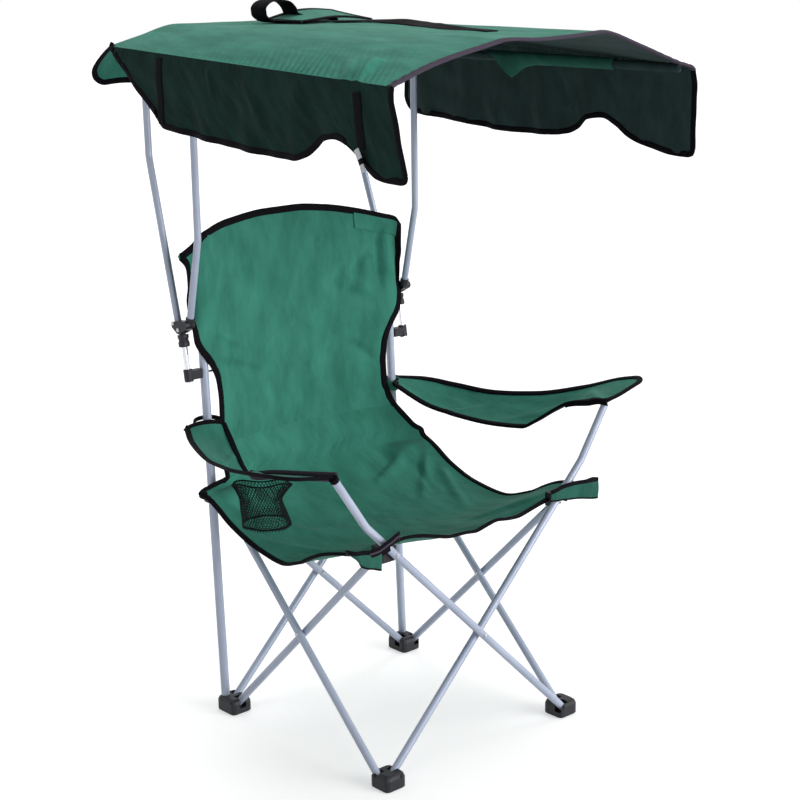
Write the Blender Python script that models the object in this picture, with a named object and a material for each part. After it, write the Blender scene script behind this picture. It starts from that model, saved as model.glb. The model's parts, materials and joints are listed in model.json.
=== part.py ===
"""Folding camp chair with a sun canopy.

The frame is four crossed pairs of bars, one on each side of a square. Plastic feet join the
pairs at the floor. Collars that slide on the two back posts, and brackets on the front bars,
join them at seat height. The seat cloth hangs from those four corners, the back cloth from the
posts, and the canopy stands on two short plated stubs clamped to the posts.

The sitter faces -Y, the sitter's right hand is at -X and the floor is z = 0. Metres.
"""
import math

import bmesh
import bpy
from mathutils import Matrix, Vector

# Frame: driving dimensions
CORNER = 0.260              # half the spacing of the four corners where the bar planes meet
PIN_INSET = 0.022           # from a corner inward to each bar's end pin
BAR_SHIFT = 0.0085          # half the distance between the two bars of a crossed pair
FOOT_PIN_Z = 0.026
SEAT_PIN_Z = 0.492
BAR_RADIUS = 0.008
BAR_END = 0.008             # a bar's length past its end pin
TUBE_WALL = 0.0012
SIDES = 12                  # facets round a tube
GAP = 0.0003                # between pieces that touch
SLIDE_GAP = 0.0006          # round a tube that slides
OVERRUN = 0.010             # how far a cutter runs past what it cuts

# Arm posts: the front bars run on past the seat and bend up to carry the armrests
ARM_BEND = 0.770            # along the bar from its foot pin to the bend
ARM_UP = 0.1297             # from the bend to the top
ARM_LEAN = math.radians(34.15)      # of that length, outward from upright
ARM_BEND_RADIUS = 0.050

# Back posts
POST_RADIUS = 0.0095
POST_OUT = 0.004            # post axis outside the corner
POST_BACK = 0.012           # post axis behind the corner at the floor
POST_LEAN_SHARE = 0.0396    # run back as a share of height
POST_BOTTOM_Z = 0.0105
POST_TOP_Z = 0.992
PLUG_HEAD = 0.004
PLUG_DEPTH = 0.012

# Plastic at the corners
FOOT_IN = 0.033             # reach inward from the corner
FOOT_OUT = 0.0193           # reach outward
REAR_FOOT_OUT = 0.027       # the rear feet also hold the posts
FOOT_HEIGHT = 0.036
FOOT_CORNER = 0.008
FOOT_SHOULDER = 0.024       # height where the dome starts
SLOT_CLEAR = 0.0003         # between a bar and its slot wall
SLOT_REACH = 0.0130         # slot past the pin, away from the bar
COLLAR_UP = 0.0148          # collar and bracket, above and below the pin
EYE_WALL = 0.0035
BRACKET_IN = 0.034
FOLDED_ANGLE = math.radians(6.5)   # bars from upright when the frame is shut

# Rivets and pins
PIN_RADIUS = 0.0026
PIN_HEAD_RADIUS = 0.0048
PIN_HEAD = 0.0022
PIN_SEAT = 0.0022           # depth that an end pin reaches past its slot

# Canopy carriers, one outside each post
CLAMP_Z = 0.763
CLAMP_OUT = 0.041           # stub axis outside the post axis
CLAMP_HALF = 0.013          # half the clamp's height
CLAMP_WALL = 0.0032
STUB_RADIUS = 0.0062
STUB_LEAN = math.radians(9.0)
STUB_LIP = 0.0022           # the lip under the clamp that stops the stub's rise
STUB_IN_GRIP = 0.020        # how far the stub reaches into the grip
GRIP_START = 0.061          # the pivot base's grip, along the stub from the clamp's centre
GRIP_LENGTH = 0.026
GRIP_RADIUS = 0.0120
PIVOT_ALONG = 0.0980        # tilt axis along the same line
PIVOT_EYE = 0.0085          # radius of the grip's tongue round the tilt axis
HEAD_WIDTH = 0.022
HEAD_ROUND = 0.0095         # radius of the swivel head round its tilt axis
HEAD_FRONT = 0.0088
HEAD_REAR = 0.0074
SOCKET_WALL = 0.0022
SOCKET_LENGTH = 0.016
ROD_PIN_ALONG = 0.0080      # from the rear rod's foot to its pin
SCREW_TIP = 0.017           # screw past the post on the inner side

# Canopy rods
ROD_RADIUS = 0.0075
ROD_X = 0.3020
FRONT_ROD_FOOT_Y = 0.2935
FRONT_ROD_FOOT_Z = 0.8720
FRONT_ROD_Y = 0.2520        # of its upright run
FRONT_BEND_Z = 1.0570
FRONT_TURN_Z = 1.4050       # where it turns forward under the canopy
FRONT_TIP_X = 0.3830
FRONT_TIP_Y = -0.4350
REAR_ROD_FOOT_Y = 0.3330
REAR_ROD_FOOT_Z = 0.8640
REAR_BEND_X = 0.2860
REAR_BEND_Y = 0.4370
REAR_BEND_Z = 1.2100
REAR_TOP_X = 0.2830
REAR_TOP_Y = 0.4440
REAR_TURN_Z = 1.3850        # where it turns out to the rear corner
REAR_TIP_X = 0.3550
REAR_TIP_Y = 0.3780
ROD_BEND_RADIUS = 0.050

# Canopy cloth
CLOTH = 0.0024              # thickness of a sewn cloth solid
CANOPY_HALF = 0.3990
CANOPY_FRONT_Y = -0.4600
CANOPY_REAR_Y = 0.3900
CANOPY_FRONT_Z = 1.4040
CANOPY_REAR_Z = 1.4460
CANOPY_ARCH = 0.0660        # rise of the middle over the side ridges
CANOPY_ARCH_POWER = 2.4
VALANCE_DROP = 0.1560       # mean depth of a side valance
VALANCE_REAR_Y = 0.2200     # rear end of the hem
VALANCE_FRONT_Y = -0.4760   # front end of the hem
VALANCE_FOLD = 0.0040       # depth of its soft folds
VALANCE_FOLDS = 5
VALANCE_FLARE = 0.0060
FLAP_REACH = 0.0680         # how far back the rear flap stands
FLAP_DROP = 0.0610
FLAP_HALF = 0.3700
STRAP_WIDTH = 0.038
STRAP_THICK = 0.0040
STRAP_Y = 0.3000
STRAP_ARCH = 0.0320
POCKET_HALF = 0.0950
POCKET_DROP = 0.0580
POCKET_Y = -0.4250

# Sling cloth
BACK_RISE = 0.0860          # middle of the back's top edge above the posts
EAR_RISE = 0.0260           # its top corners above the posts
EAR_HALF = 0.3000
WAIST_Z = 0.6000            # where the back cloth hands over to the seat cloth
BACK_SAG = 0.0340           # how far the middle of the back lies behind its edges
SLEEVE_LENGTH = 0.1220
SEAT_HALF = 0.3200
BACK_TOP_Z = POST_TOP_Z + BACK_RISE
EAR_Z = POST_TOP_Z + EAR_RISE

# Armrests
ARM_REACH_X = 0.5000        # outer edge at the front
ARM_LOOP_Z = 0.6490         # the loop round the back post
ARM_LOOP_HEIGHT = 0.0280

# Cup holder under the right armrest
CUP_X = -0.3850
CUP_Y = 0.0200
CUP_BOTTOM_Z = 0.5080
CUP_RADIUS = 0.0440
CUP_FOOT_SHARE = 0.74       # bottom radius over top radius
CUP_WALL = 0.0024

# Outlines as shares. The back's half width from its top down: first over EAR_HALF, then
# beside the canopy carriers and down to the waist over the post's distance from the middle
EAR_HALF_SHARES = (1.0, 0.995, 0.985)
BACK_SIDE_SHARES = (1.099, 1.099, 1.0455, 0.9545, 0.892, 0.992)
# Seat edge and seat middle from the waist to the front: y over CORNER, z over SEAT_PIN_Z
SEAT_EDGE_SHARES = (
    (1.084, 1.2195), (1.040, 1.112), (0.792, 1.036), (0.538, 0.955), (0.231, 0.907),
    (-0.077, 0.890), (-0.385, 0.925), (-0.673, 0.984), (-0.866, 1.022),
)
SEAT_MIDDLE_SHARES = (
    (1.225, 1.2195), (1.154, 1.104), (0.925, 1.026), (0.635, 0.907), (0.308, 0.846),
    (-0.019, 0.823), (-0.346, 0.843), (-0.635, 0.910), (-0.866, 0.988),
)
SEAT_HALF_SHARES = (0.819, 0.950, 0.992, 0.995, 1.003, 1.010, 1.045, 1.045, 1.015)
# Armrest edges from the post to the front: x over the reach past the post, y over CORNER,
# z over the arm bar's height
ARM_INNER_SHARES = (
    (-0.009, 1.102, 0.955), (0.085, 0.700, 0.904), (0.212, 0.270, 0.876),
    (0.331, -0.150, 0.880), (0.398, -0.560, 0.950), (0.428, -0.880, 1.0065),
    (0.424, -1.020, 1.0100),
)
ARM_OUTER_SHARES = (
    (0.288, 1.102, 0.970), (0.479, 0.770, 0.955), (0.627, 0.385, 0.944),
    (0.780, 0.000, 0.957), (0.936, -0.385, 0.993), (1.008, -0.730, 1.034),
    (1.000, -1.020, 1.060),
)
# Depth of a side valance from rear to front, over VALANCE_DROP
HEM_SHARES = (1.02, 1.07, 1.09, 1.10, 1.10, 1.06, 0.92, 0.80, 0.88, 1.00, 1.08)


def clear_scene():
    """Start from nothing."""
    for obj in list(bpy.data.objects):
        bpy.data.objects.remove(obj, do_unlink=True)


def make_material(name, colour, metallic, roughness):
    """A plain Principled finish for one sub-part."""
    material = bpy.data.materials.new(name)
    material.use_nodes = True
    shader = material.node_tree.nodes["Principled BSDF"]
    shader.inputs["Base Color"].default_value = (*colour, 1.0)
    shader.inputs["Metallic"].default_value = metallic
    shader.inputs["Roughness"].default_value = roughness
    return material


FINISHES = {
    "paint": ((0.40, 0.46, 0.57), 0.35, 0.35),
    "plastic": ((0.012, 0.012, 0.014), 0.0, 0.45),
    "chrome": ((0.78, 0.79, 0.80), 1.0, 0.12),
    "steel": ((0.55, 0.56, 0.58), 1.0, 0.30),
    "green_cloth": ((0.045, 0.180, 0.135), 0.0, 0.80),
    "dark_cloth": ((0.012, 0.024, 0.022), 0.0, 0.85),
    "mesh_cloth": ((0.010, 0.010, 0.012), 0.0, 0.90),
}


def finish(obj, kind):
    """Give one object its own material of a kind."""
    obj.data.materials.clear()
    obj.data.materials.append(make_material(f"{obj.name}_{kind}", *FINISHES[kind]))
    return obj


def add_mesh(name, verts, faces, kind, origin=Vector(), smooth=35):
    """A mesh object whose origin is given; the vertices are in world coordinates."""
    mesh = bpy.data.meshes.new(name)
    mesh.from_pydata([Vector(v) - origin for v in verts], [], faces)
    mesh.validate()
    bm = bmesh.new()
    bm.from_mesh(mesh)
    bmesh.ops.recalc_face_normals(bm, faces=bm.faces)
    bm.to_mesh(mesh)
    bm.free()
    mesh.shade_smooth()
    mesh.set_sharp_from_angle(angle=math.radians(smooth))
    obj = bpy.data.objects.new(name, mesh)
    obj.location = origin
    bpy.context.scene.collection.objects.link(obj)
    return finish(obj, kind)


def boolean(obj, tool, operation):
    """Cut a tool from an object, or join it on, and remove the tool."""
    modifier = obj.modifiers.new(operation.lower(), "BOOLEAN")
    modifier.operation = operation
    modifier.solver = "EXACT"
    modifier.object = tool
    bpy.context.view_layer.update()
    graph = bpy.context.evaluated_depsgraph_get()
    mesh = bpy.data.meshes.new_from_object(obj.evaluated_get(graph))
    obj.modifiers.remove(modifier)
    obj.data = mesh
    bpy.data.objects.remove(tool, do_unlink=True)
    kind = obj.get("kind")
    if kind:
        finish(obj, kind)
    mesh.shade_smooth()
    mesh.set_sharp_from_angle(angle=math.radians(35))
    return obj


def frame_on(axis):
    """Two unit vectors square to an axis and to each other."""
    axis = axis.normalized()
    guide = Vector((0, 0, 1)) if abs(axis.z) < 0.9 else Vector((0, 1, 0))
    side = axis.cross(guide).normalized()
    return side, axis.cross(side).normalized()


def turned(profile, base, axis, segments=SIDES):
    """Vertices and faces of a solid turned about an axis.

    The profile lists (radius, height) from a point on the axis to another point on it.
    """
    axis = axis.normalized()
    side, up = frame_on(axis)
    verts, rings = [], []
    for radius, height in profile:
        centre = base + axis * height
        if radius == 0:
            rings.append([len(verts)])
            verts.append(centre)
            continue
        ring = []
        for k in range(segments):
            angle = math.tau * k / segments
            ring.append(len(verts))
            verts.append(centre + (side * math.cos(angle) + up * math.sin(angle)) * radius)
        rings.append(ring)
    faces = []
    for low, high in zip(rings, rings[1:]):
        for k in range(segments):
            nxt = (k + 1) % segments
            if len(low) == 1:
                faces.append((low[0], high[nxt], high[k]))
            elif len(high) == 1:
                faces.append((low[k], low[nxt], high[0]))
            else:
                faces.append((low[k], low[nxt], high[nxt], high[k]))
    return verts, faces


def merged(pieces):
    """Several separate solids as one list of vertices and faces."""
    verts, faces = [], []
    for piece_verts, piece_faces in pieces:
        start = len(verts)
        verts += piece_verts
        faces += [tuple(start + k for k in face) for face in piece_faces]
    return verts, faces


def rod_cutter(points_and_axes, radius, reach, segments=8):
    """One cutter made of separate round rods, each centred on its point."""
    rods = [
        turned([(0, 0), (radius, 0), (radius, 2 * reach), (0, 2 * reach)],
               point - axis.normalized() * reach, axis, segments)
        for point, axis in points_and_axes
    ]
    return add_mesh("cutter", *merged(rods), "steel")


def box(low, high):
    """Vertices and faces of a plain box between two corners in any order."""
    xs, ys, zs = (sorted(pair) for pair in zip(low, high))
    verts = [Vector((x, y, z)) for x in xs for y in ys for z in zs]
    faces = [(0, 1, 3, 2), (4, 6, 7, 5), (0, 4, 5, 1), (2, 3, 7, 6), (0, 2, 6, 4), (1, 5, 7, 3)]
    return verts, faces


def outline_loft(outlines):
    """A closed solid through flat outlines that all have the same number of points."""
    verts = [point for outline in outlines for point in outline]
    count = len(outlines[0])
    faces = [tuple(reversed(range(count)))]
    for level in range(len(outlines) - 1):
        for k in range(count):
            nxt = (k + 1) % count
            low, high = level * count, (level + 1) * count
            faces.append((low + k, low + nxt, high + nxt, high + k))
    faces.append(tuple(range((len(outlines) - 1) * count, len(outlines) * count)))
    return verts, faces


def rounded_rectangle(x0, x1, y0, y1, z, radius, steps=2):
    """A level rectangle with round corners."""
    points = []
    corners = (((x1, y1), 0), ((x0, y1), 1), ((x0, y0), 2), ((x1, y0), 3))
    for (x, y), quarter in corners:
        centre_x = x - math.copysign(radius, x - (x0 + x1) / 2)
        centre_y = y - math.copysign(radius, y - (y0 + y1) / 2)
        for k in range(steps + 1):
            angle = math.pi / 2 * (quarter + k / steps)
            points.append(Vector((centre_x + radius * math.cos(angle),
                                  centre_y + radius * math.sin(angle), z)))
    return points


def swept(path, radius, sides=SIDES):
    """Rings of points round a path, carried along it without twisting."""
    tangents = []
    for k, point in enumerate(path):
        before = path[max(k - 1, 0)]
        after = path[min(k + 1, len(path) - 1)]
        tangents.append((after - before).normalized())
    side, up = frame_on(tangents[0])
    rings = []
    for k, point in enumerate(path):
        if k:
            turn = tangents[k - 1].rotation_difference(tangents[k])
            side, up = turn @ side, turn @ up
        rings.append([point + (side * math.cos(a) + up * math.sin(a)) * radius
                      for a in (math.tau * n / sides for n in range(sides))])
    return rings


def tube(name, path, radius, kind, origin, wall=TUBE_WALL, sides=SIDES):
    """A hollow tube, open at both ends, along a path."""
    outer = swept(path, radius, sides)
    inner = swept(path, radius - wall, sides)
    verts = [point for ring in outer + inner for point in ring]
    count, rows = sides, len(path)
    faces = []
    for row in range(rows - 1):
        for k in range(count):
            nxt = (k + 1) % count
            a, b = row * count, (row + 1) * count
            faces.append((a + k, a + nxt, b + nxt, b + k))
            c, d = (rows + row) * count, (rows + row + 1) * count
            faces.append((c + nxt, c + k, d + k, d + nxt))
    for row in (0, rows - 1):
        for k in range(count):
            nxt = (k + 1) % count
            a, c = row * count, (rows + row) * count
            face = (a + k, c + k, c + nxt, a + nxt)
            faces.append(face if row == 0 else tuple(reversed(face)))
    obj = add_mesh(name, verts, faces, kind, origin)
    obj["kind"] = kind
    return obj


def bent(points, radius, steps=5):
    """A path through points whose corners are rounded by arcs."""
    path = [points[0]]
    for before, corner, after in zip(points, points[1:], points[2:]):
        inward, outward = (before - corner).normalized(), (after - corner).normalized()
        half = inward.angle(outward) / 2
        cut = radius / math.tan(half)
        centre = corner + (inward + outward).normalized() * (radius / math.sin(half))
        start = corner + inward * cut - centre
        turn = math.pi - 2 * half
        axis = start.cross(corner + outward * cut - centre)
        for k in range(steps + 1):
            path.append(centre + Matrix.Rotation(turn * k / steps, 3, axis) @ start)
    path.append(points[-1])
    return path


def smooth_curve(stations, share):
    """A Catmull-Rom reading of a list of tuples at a share of its length."""
    place = share * (len(stations) - 1)
    k = min(int(place), len(stations) - 2)
    t = place - k
    p0 = stations[max(k - 1, 0)]
    p1, p2 = stations[k], stations[k + 1]
    p3 = stations[min(k + 2, len(stations) - 1)]
    return tuple(
        0.5 * (2 * b + (c - a) * t + (2 * a - 5 * b + 4 * c - d) * t * t
               + (3 * b - a - 3 * c + d) * t ** 3)
        for a, b, c, d in zip(p0, p1, p2, p3)
    )


def sheet(name, surface, columns, rows, kind, origin=Vector(), thickness=CLOTH):
    """A closed thin solid round a surface given by two shares from 0 to 1."""
    step = 1e-3
    front, back = [], []
    for row in range(rows + 1):
        for column in range(columns + 1):
            u, v = column / columns, row / rows
            u0, u1 = max(u - step, 0), min(u + step, 1)
            v0, v1 = max(v - step, 0), min(v + step, 1)
            along = surface(u1, v) - surface(u0, v)
            across = surface(u, v1) - surface(u, v0)
            normal = along.cross(across).normalized() * (thickness / 2)
            point = surface(u, v)
            front.append(point + normal)
            back.append(point - normal)
    verts = front + back
    width, offset = columns + 1, len(front)
    faces = []
    for row in range(rows):
        for column in range(columns):
            a = row * width + column
            quad = (a, a + 1, a + 1 + width, a + width)
            faces.append(quad)
            faces.append(tuple(offset + k for k in reversed(quad)))
    rim = [column for column in range(width)]
    rim += [row * width + columns for row in range(1, rows + 1)]
    rim += [rows * width + column for column in range(columns - 1, -1, -1)]
    rim += [row * width for row in range(rows - 1, 0, -1)]
    for a, b in zip(rim, rim[1:] + rim[:1]):
        faces.append((b, a, a + offset, b + offset))
    obj = add_mesh(name, verts, faces, kind, origin, smooth=50)
    obj["kind"] = kind
    return obj


# Corners. A place near a corner is given by the corner's two signs and by how far inward it lies.

def inward(sx, sy, a, b, z):
    """The point that lies a inward along X and b inward along Y from a corner."""
    return Vector((sx * (CORNER - a), sy * (CORNER - b), z))


def corner_box(sx, sy, span_a, span_b, span_z):
    """A box near a corner, in the same inward measures."""
    low = inward(sx, sy, span_a[0], span_b[0], span_z[0])
    high = inward(sx, sy, span_a[1], span_b[1], span_z[1])
    return box(low, high)


def post_axis(sx, z):
    """The point on a back post's centre line at a height."""
    return Vector((sx * (CORNER + POST_OUT), CORNER + POST_BACK + POST_LEAN_SHARE * z, z))


# At each corner one bar lies inside its plane and the other outside, so that they never meet.
# A front or back bar leaves its foot along X, a side bar along Y.
LEFT, RIGHT, FRONT, REAR = 1, -1, -1, 1
CROSS_BARS = {
    # name: (plane's Y sign, foot's X sign, shift inward at its foot)
    "front_bar_left_arm": (FRONT, RIGHT, BAR_SHIFT),
    "front_bar_right_arm": (FRONT, LEFT, -BAR_SHIFT),
    "back_bar_outer": (REAR, RIGHT, -BAR_SHIFT),
    "back_bar_inner": (REAR, LEFT, BAR_SHIFT),
}
SIDE_BARS = {
    # name: (plane's X sign, foot's Y sign, shift inward at its foot)
    "side_bar_right_front": (RIGHT, FRONT, -BAR_SHIFT),
    "side_bar_right_rear": (RIGHT, REAR, BAR_SHIFT),
    "side_bar_left_front": (LEFT, FRONT, BAR_SHIFT),
    "side_bar_left_rear": (LEFT, REAR, -BAR_SHIFT),
}
MIDDLE_Z = (FOOT_PIN_Z + SEAT_PIN_Z) / 2


def bar_pins(name):
    """The lower and upper pin points of a bar, and its pin axis."""
    if name in CROSS_BARS:
        sy, sx, shift = CROSS_BARS[name]
        low = inward(sx, sy, PIN_INSET, shift, FOOT_PIN_Z)
        high = Vector((-low.x, low.y, SEAT_PIN_Z))
        return low, high, Vector((0, 1, 0))
    sx, sy, shift = SIDE_BARS[name]
    low = inward(sx, sy, shift, PIN_INSET, FOOT_PIN_Z)
    high = Vector((low.x, -low.y, SEAT_PIN_Z))
    return low, high, Vector((1, 0, 0))


def arm_bend_and_top(name):
    """Where an arm bar bends above the seat, and where it ends."""
    low, high, _ = bar_pins(name)
    bend = low + (high - low).normalized() * ARM_BEND
    sx = math.copysign(1, high.x)
    return bend, bend + Vector((sx * math.sin(ARM_LEAN), 0, math.cos(ARM_LEAN))) * ARM_UP


def make_bar(name):
    """One crossed bar, drilled for its two pins and for the rivet in its middle."""
    low, high, axis = bar_pins(name)
    along = (high - low).normalized()
    start = low - along * BAR_END
    if "arm" in name:
        path = bent([start, *arm_bend_and_top(name)], ARM_BEND_RADIUS)
    else:
        path = [start, high + along * BAR_END]
    bar = tube(name, path, BAR_RADIUS, "paint", low)
    middle = (low + high) / 2
    holes = rod_cutter([(p, axis) for p in (low, middle, high)],
                       PIN_RADIUS + GAP, BAR_RADIUS + OVERRUN)
    return boolean(bar, holes, "DIFFERENCE")


def headed_pin(head_face, axis, length, second_head=False, seated=False):
    """A pin whose head sits on a face; the shaft runs along the axis into the work.

    A seated pin is moulded into what carries it, so its head reaches just below the face.
    """
    under = GAP if seated else -GAP
    profile = [
        (0, -PIN_HEAD), (PIN_HEAD_RADIUS * 0.6, -PIN_HEAD),
        (PIN_HEAD_RADIUS, -PIN_HEAD * 0.4), (PIN_HEAD_RADIUS, under), (PIN_RADIUS, under),
    ]
    if second_head:
        profile += [
            (PIN_RADIUS, length + GAP), (PIN_HEAD_RADIUS, length + GAP),
            (PIN_HEAD_RADIUS, length + PIN_HEAD * 0.4), (PIN_HEAD_RADIUS * 0.6, length + PIN_HEAD),
            (0, length + PIN_HEAD),
        ]
    else:
        profile += [(PIN_RADIUS, length), (0, length)]
    return turned(profile, head_face, axis, 8)


def make_rivet(name, centre, axis):
    """The rivet where two bars cross."""
    half = BAR_SHIFT + BAR_RADIUS
    verts, faces = headed_pin(centre - axis * half, axis, 2 * half, second_head=True)
    return add_mesh(name, verts, faces, "steel", centre)


def corner_shifts(sx, sy, at_foot):
    """How far inward the cross bar and the side bar lie at one corner."""
    foot_x, foot_y = (sx, sy) if at_foot else (-sx, -sy)
    cross = next(s for plane, foot, s in CROSS_BARS.values() if plane == sy and foot == foot_x)
    side = next(s for plane, foot, s in SIDE_BARS.values() if plane == sx and foot == foot_y)
    return cross, side


def slot_boxes(sx, sy, pin_z, at_foot):
    """Cutters for the two bars' slots: open inward, and upward at a foot or downward above."""
    cross, side = corner_shifts(sx, sy, at_foot)
    half = BAR_RADIUS + SLOT_CLEAR
    away, open_end = pin_z - SLOT_REACH, pin_z + FOOT_HEIGHT
    if not at_foot:
        away, open_end = pin_z + SLOT_REACH, pin_z - FOOT_HEIGHT
    start, end = PIN_INSET - SLOT_REACH, BRACKET_IN + OVERRUN
    return [
        corner_box(sx, sy, (start, end), (cross - half, cross + half), (away, open_end)),
        corner_box(sx, sy, (side - half, side + half), (start, end), (away, open_end)),
    ]


def end_pins(sx, sy, pin_z, at_foot, out_a, out_b):
    """The two pins that hold the bar ends at one corner, each as its own solid."""
    cross, side = corner_shifts(sx, sy, at_foot)
    half = BAR_RADIUS + SLOT_CLEAR
    return [
        headed_pin(inward(sx, sy, PIN_INSET, -out_b, pin_z), Vector((0, -sy, 0)),
                   out_b + cross + half + PIN_SEAT, seated=True),
        headed_pin(inward(sx, sy, -out_a, PIN_INSET, pin_z), Vector((-sx, 0, 0)),
                   out_a + side + half + PIN_SEAT, seated=True),
    ]


def side_word(sx):
    return "right" if sx == RIGHT else "left"


def make_foot(sx, sy):
    """A domed plastic foot with a slot for each bar, and a socket for the post at the rear."""
    name = f"{'front' if sy == FRONT else 'rear'}_foot_{side_word(sx)}"
    out_b = FOOT_OUT if sy == FRONT else REAR_FOOT_OUT
    low, high = inward(sx, sy, FOOT_IN, FOOT_IN, 0), inward(sx, sy, -FOOT_OUT, -out_b, 0)
    x0, x1 = sorted((low.x, high.x))
    y0, y1 = sorted((low.y, high.y))
    sole = FOOT_CORNER / 4
    dome = FOOT_HEIGHT - FOOT_SHOULDER
    levels = [(0, sole), (sole, 0), (FOOT_SHOULDER, 0)]
    levels += [(FOOT_SHOULDER + dome * math.sin(math.radians(a)),
                dome * (1 - math.cos(math.radians(a)))) for a in (35, 62)]
    outlines = [rounded_rectangle(x0 + inset, x1 - inset, y0 + inset, y1 - inset, z, FOOT_CORNER)
                for z, inset in levels]
    foot = add_mesh(name, *outline_loft(outlines), "plastic", inward(sx, sy, 0, 0, 0))
    foot["kind"] = "plastic"
    cuts = slot_boxes(sx, sy, FOOT_PIN_Z, True)
    boolean(foot, add_mesh("cutter", *merged(cuts[:1]), "plastic"), "DIFFERENCE")
    boolean(foot, add_mesh("cutter", *merged(cuts[1:]), "plastic"), "DIFFERENCE")
    for pin in end_pins(sx, sy, FOOT_PIN_Z, True, FOOT_OUT, out_b):
        boolean(foot, add_mesh("cutter", *pin, "plastic"), "UNION")
    if sy == REAR:
        bottom, top = post_axis(sx, POST_BOTTOM_Z - GAP), post_axis(sx, FOOT_HEIGHT + OVERRUN)
        socket = turned([(0, 0), (POST_RADIUS + GAP, 0), (POST_RADIUS + GAP, (top - bottom).length),
                         (0, (top - bottom).length)], bottom, top - bottom)
        boolean(foot, add_mesh("cutter", *socket, "plastic"), "DIFFERENCE")
    return foot


def make_post(sx):
    """A back post and the plug in its open top."""
    name = f"back_post_{side_word(sx)}"
    path = [post_axis(sx, POST_BOTTOM_Z), post_axis(sx, POST_TOP_Z)]
    post = tube(name, path, POST_RADIUS, "paint", path[0])
    across = Vector((1, 0, 0))
    hole = rod_cutter([(post_axis(sx, CLAMP_Z), across)], PIN_RADIUS + GAP, POST_RADIUS + OVERRUN)
    boolean(post, hole, "DIFFERENCE")
    inner = POST_RADIUS - TUBE_WALL - GAP
    along = (path[1] - path[0]).normalized()
    verts, faces = turned([(0, -PLUG_DEPTH), (inner, -PLUG_DEPTH), (inner, GAP),
                           (POST_RADIUS, GAP), (POST_RADIUS, PLUG_HEAD / 2),
                           (POST_RADIUS * 0.7, PLUG_HEAD), (0, PLUG_HEAD)], path[1], along)
    add_mesh(f"post_plug_{side_word(sx)}", verts, faces, "plastic", path[1])


def stadium(centre, half_x, half_y, z, steps=5):
    """A level outline with round ends, longer along Y."""
    points = []
    for end in (1, -1):
        for k in range(steps + 1):
            angle = math.pi * k / steps + (0 if end == 1 else math.pi)
            points.append(Vector((centre.x + half_x * math.cos(angle),
                                  centre.y + end * (half_y - half_x) + half_x * math.sin(angle), z)))
    return points


def fold_rise():
    """How far the collars and brackets rise when the frame closes."""
    run, rise = 2 * (CORNER - PIN_INSET), SEAT_PIN_Z - FOOT_PIN_Z
    length = math.hypot(run, rise)
    return length * math.cos(FOLDED_ANGLE) - rise


def make_collar(sx):
    """The sliding collar on a back post that holds two bar ends.

    Its eye is longer front to back than the post, because the post leans and the collar
    travels straight up.
    """
    name = f"rear_collar_{side_word(sx)}"
    z0, z1 = SEAT_PIN_Z - COLLAR_UP, SEAT_PIN_Z + COLLAR_UP
    a, b = (-FOOT_OUT, FOOT_IN), (-FOOT_OUT, BRACKET_IN)
    corners = [inward(sx, REAR, a[0], b[0], 0), inward(sx, REAR, a[1], b[1], 0)]
    x0, x1 = sorted(p.x for p in corners)
    y0, y1 = sorted(p.y for p in corners)
    block = outline_loft([rounded_rectangle(x0, x1, y0, y1, z, FOOT_CORNER / 2) for z in (z0, z1)])
    collar = add_mesh(name, *block, "plastic", inward(sx, REAR, 0, 0, SEAT_PIN_Z))
    collar["kind"] = "plastic"
    low, high = post_axis(sx, z0), post_axis(sx, z1 + fold_rise())
    eye = (low + high) / 2
    half_x = POST_RADIUS + SLIDE_GAP
    half_y = half_x + (high.y - low.y) / 2
    ring = outline_loft([stadium(eye, half_x + EYE_WALL, half_y + EYE_WALL, z) for z in (z0, z1)])
    boolean(collar, add_mesh("cutter", *ring, "plastic"), "UNION")
    bore = outline_loft([stadium(eye, half_x, half_y, z) for z in (z0 - OVERRUN, z1 + OVERRUN)])
    boolean(collar, add_mesh("cutter", *bore, "plastic"), "DIFFERENCE")
    for slot in slot_boxes(sx, REAR, SEAT_PIN_Z, False):
        boolean(collar, add_mesh("cutter", *slot, "plastic"), "DIFFERENCE")
    for pin in end_pins(sx, REAR, SEAT_PIN_Z, False, FOOT_OUT, FOOT_OUT):
        boolean(collar, add_mesh("cutter", *pin, "plastic"), "UNION")
    return collar


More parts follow.
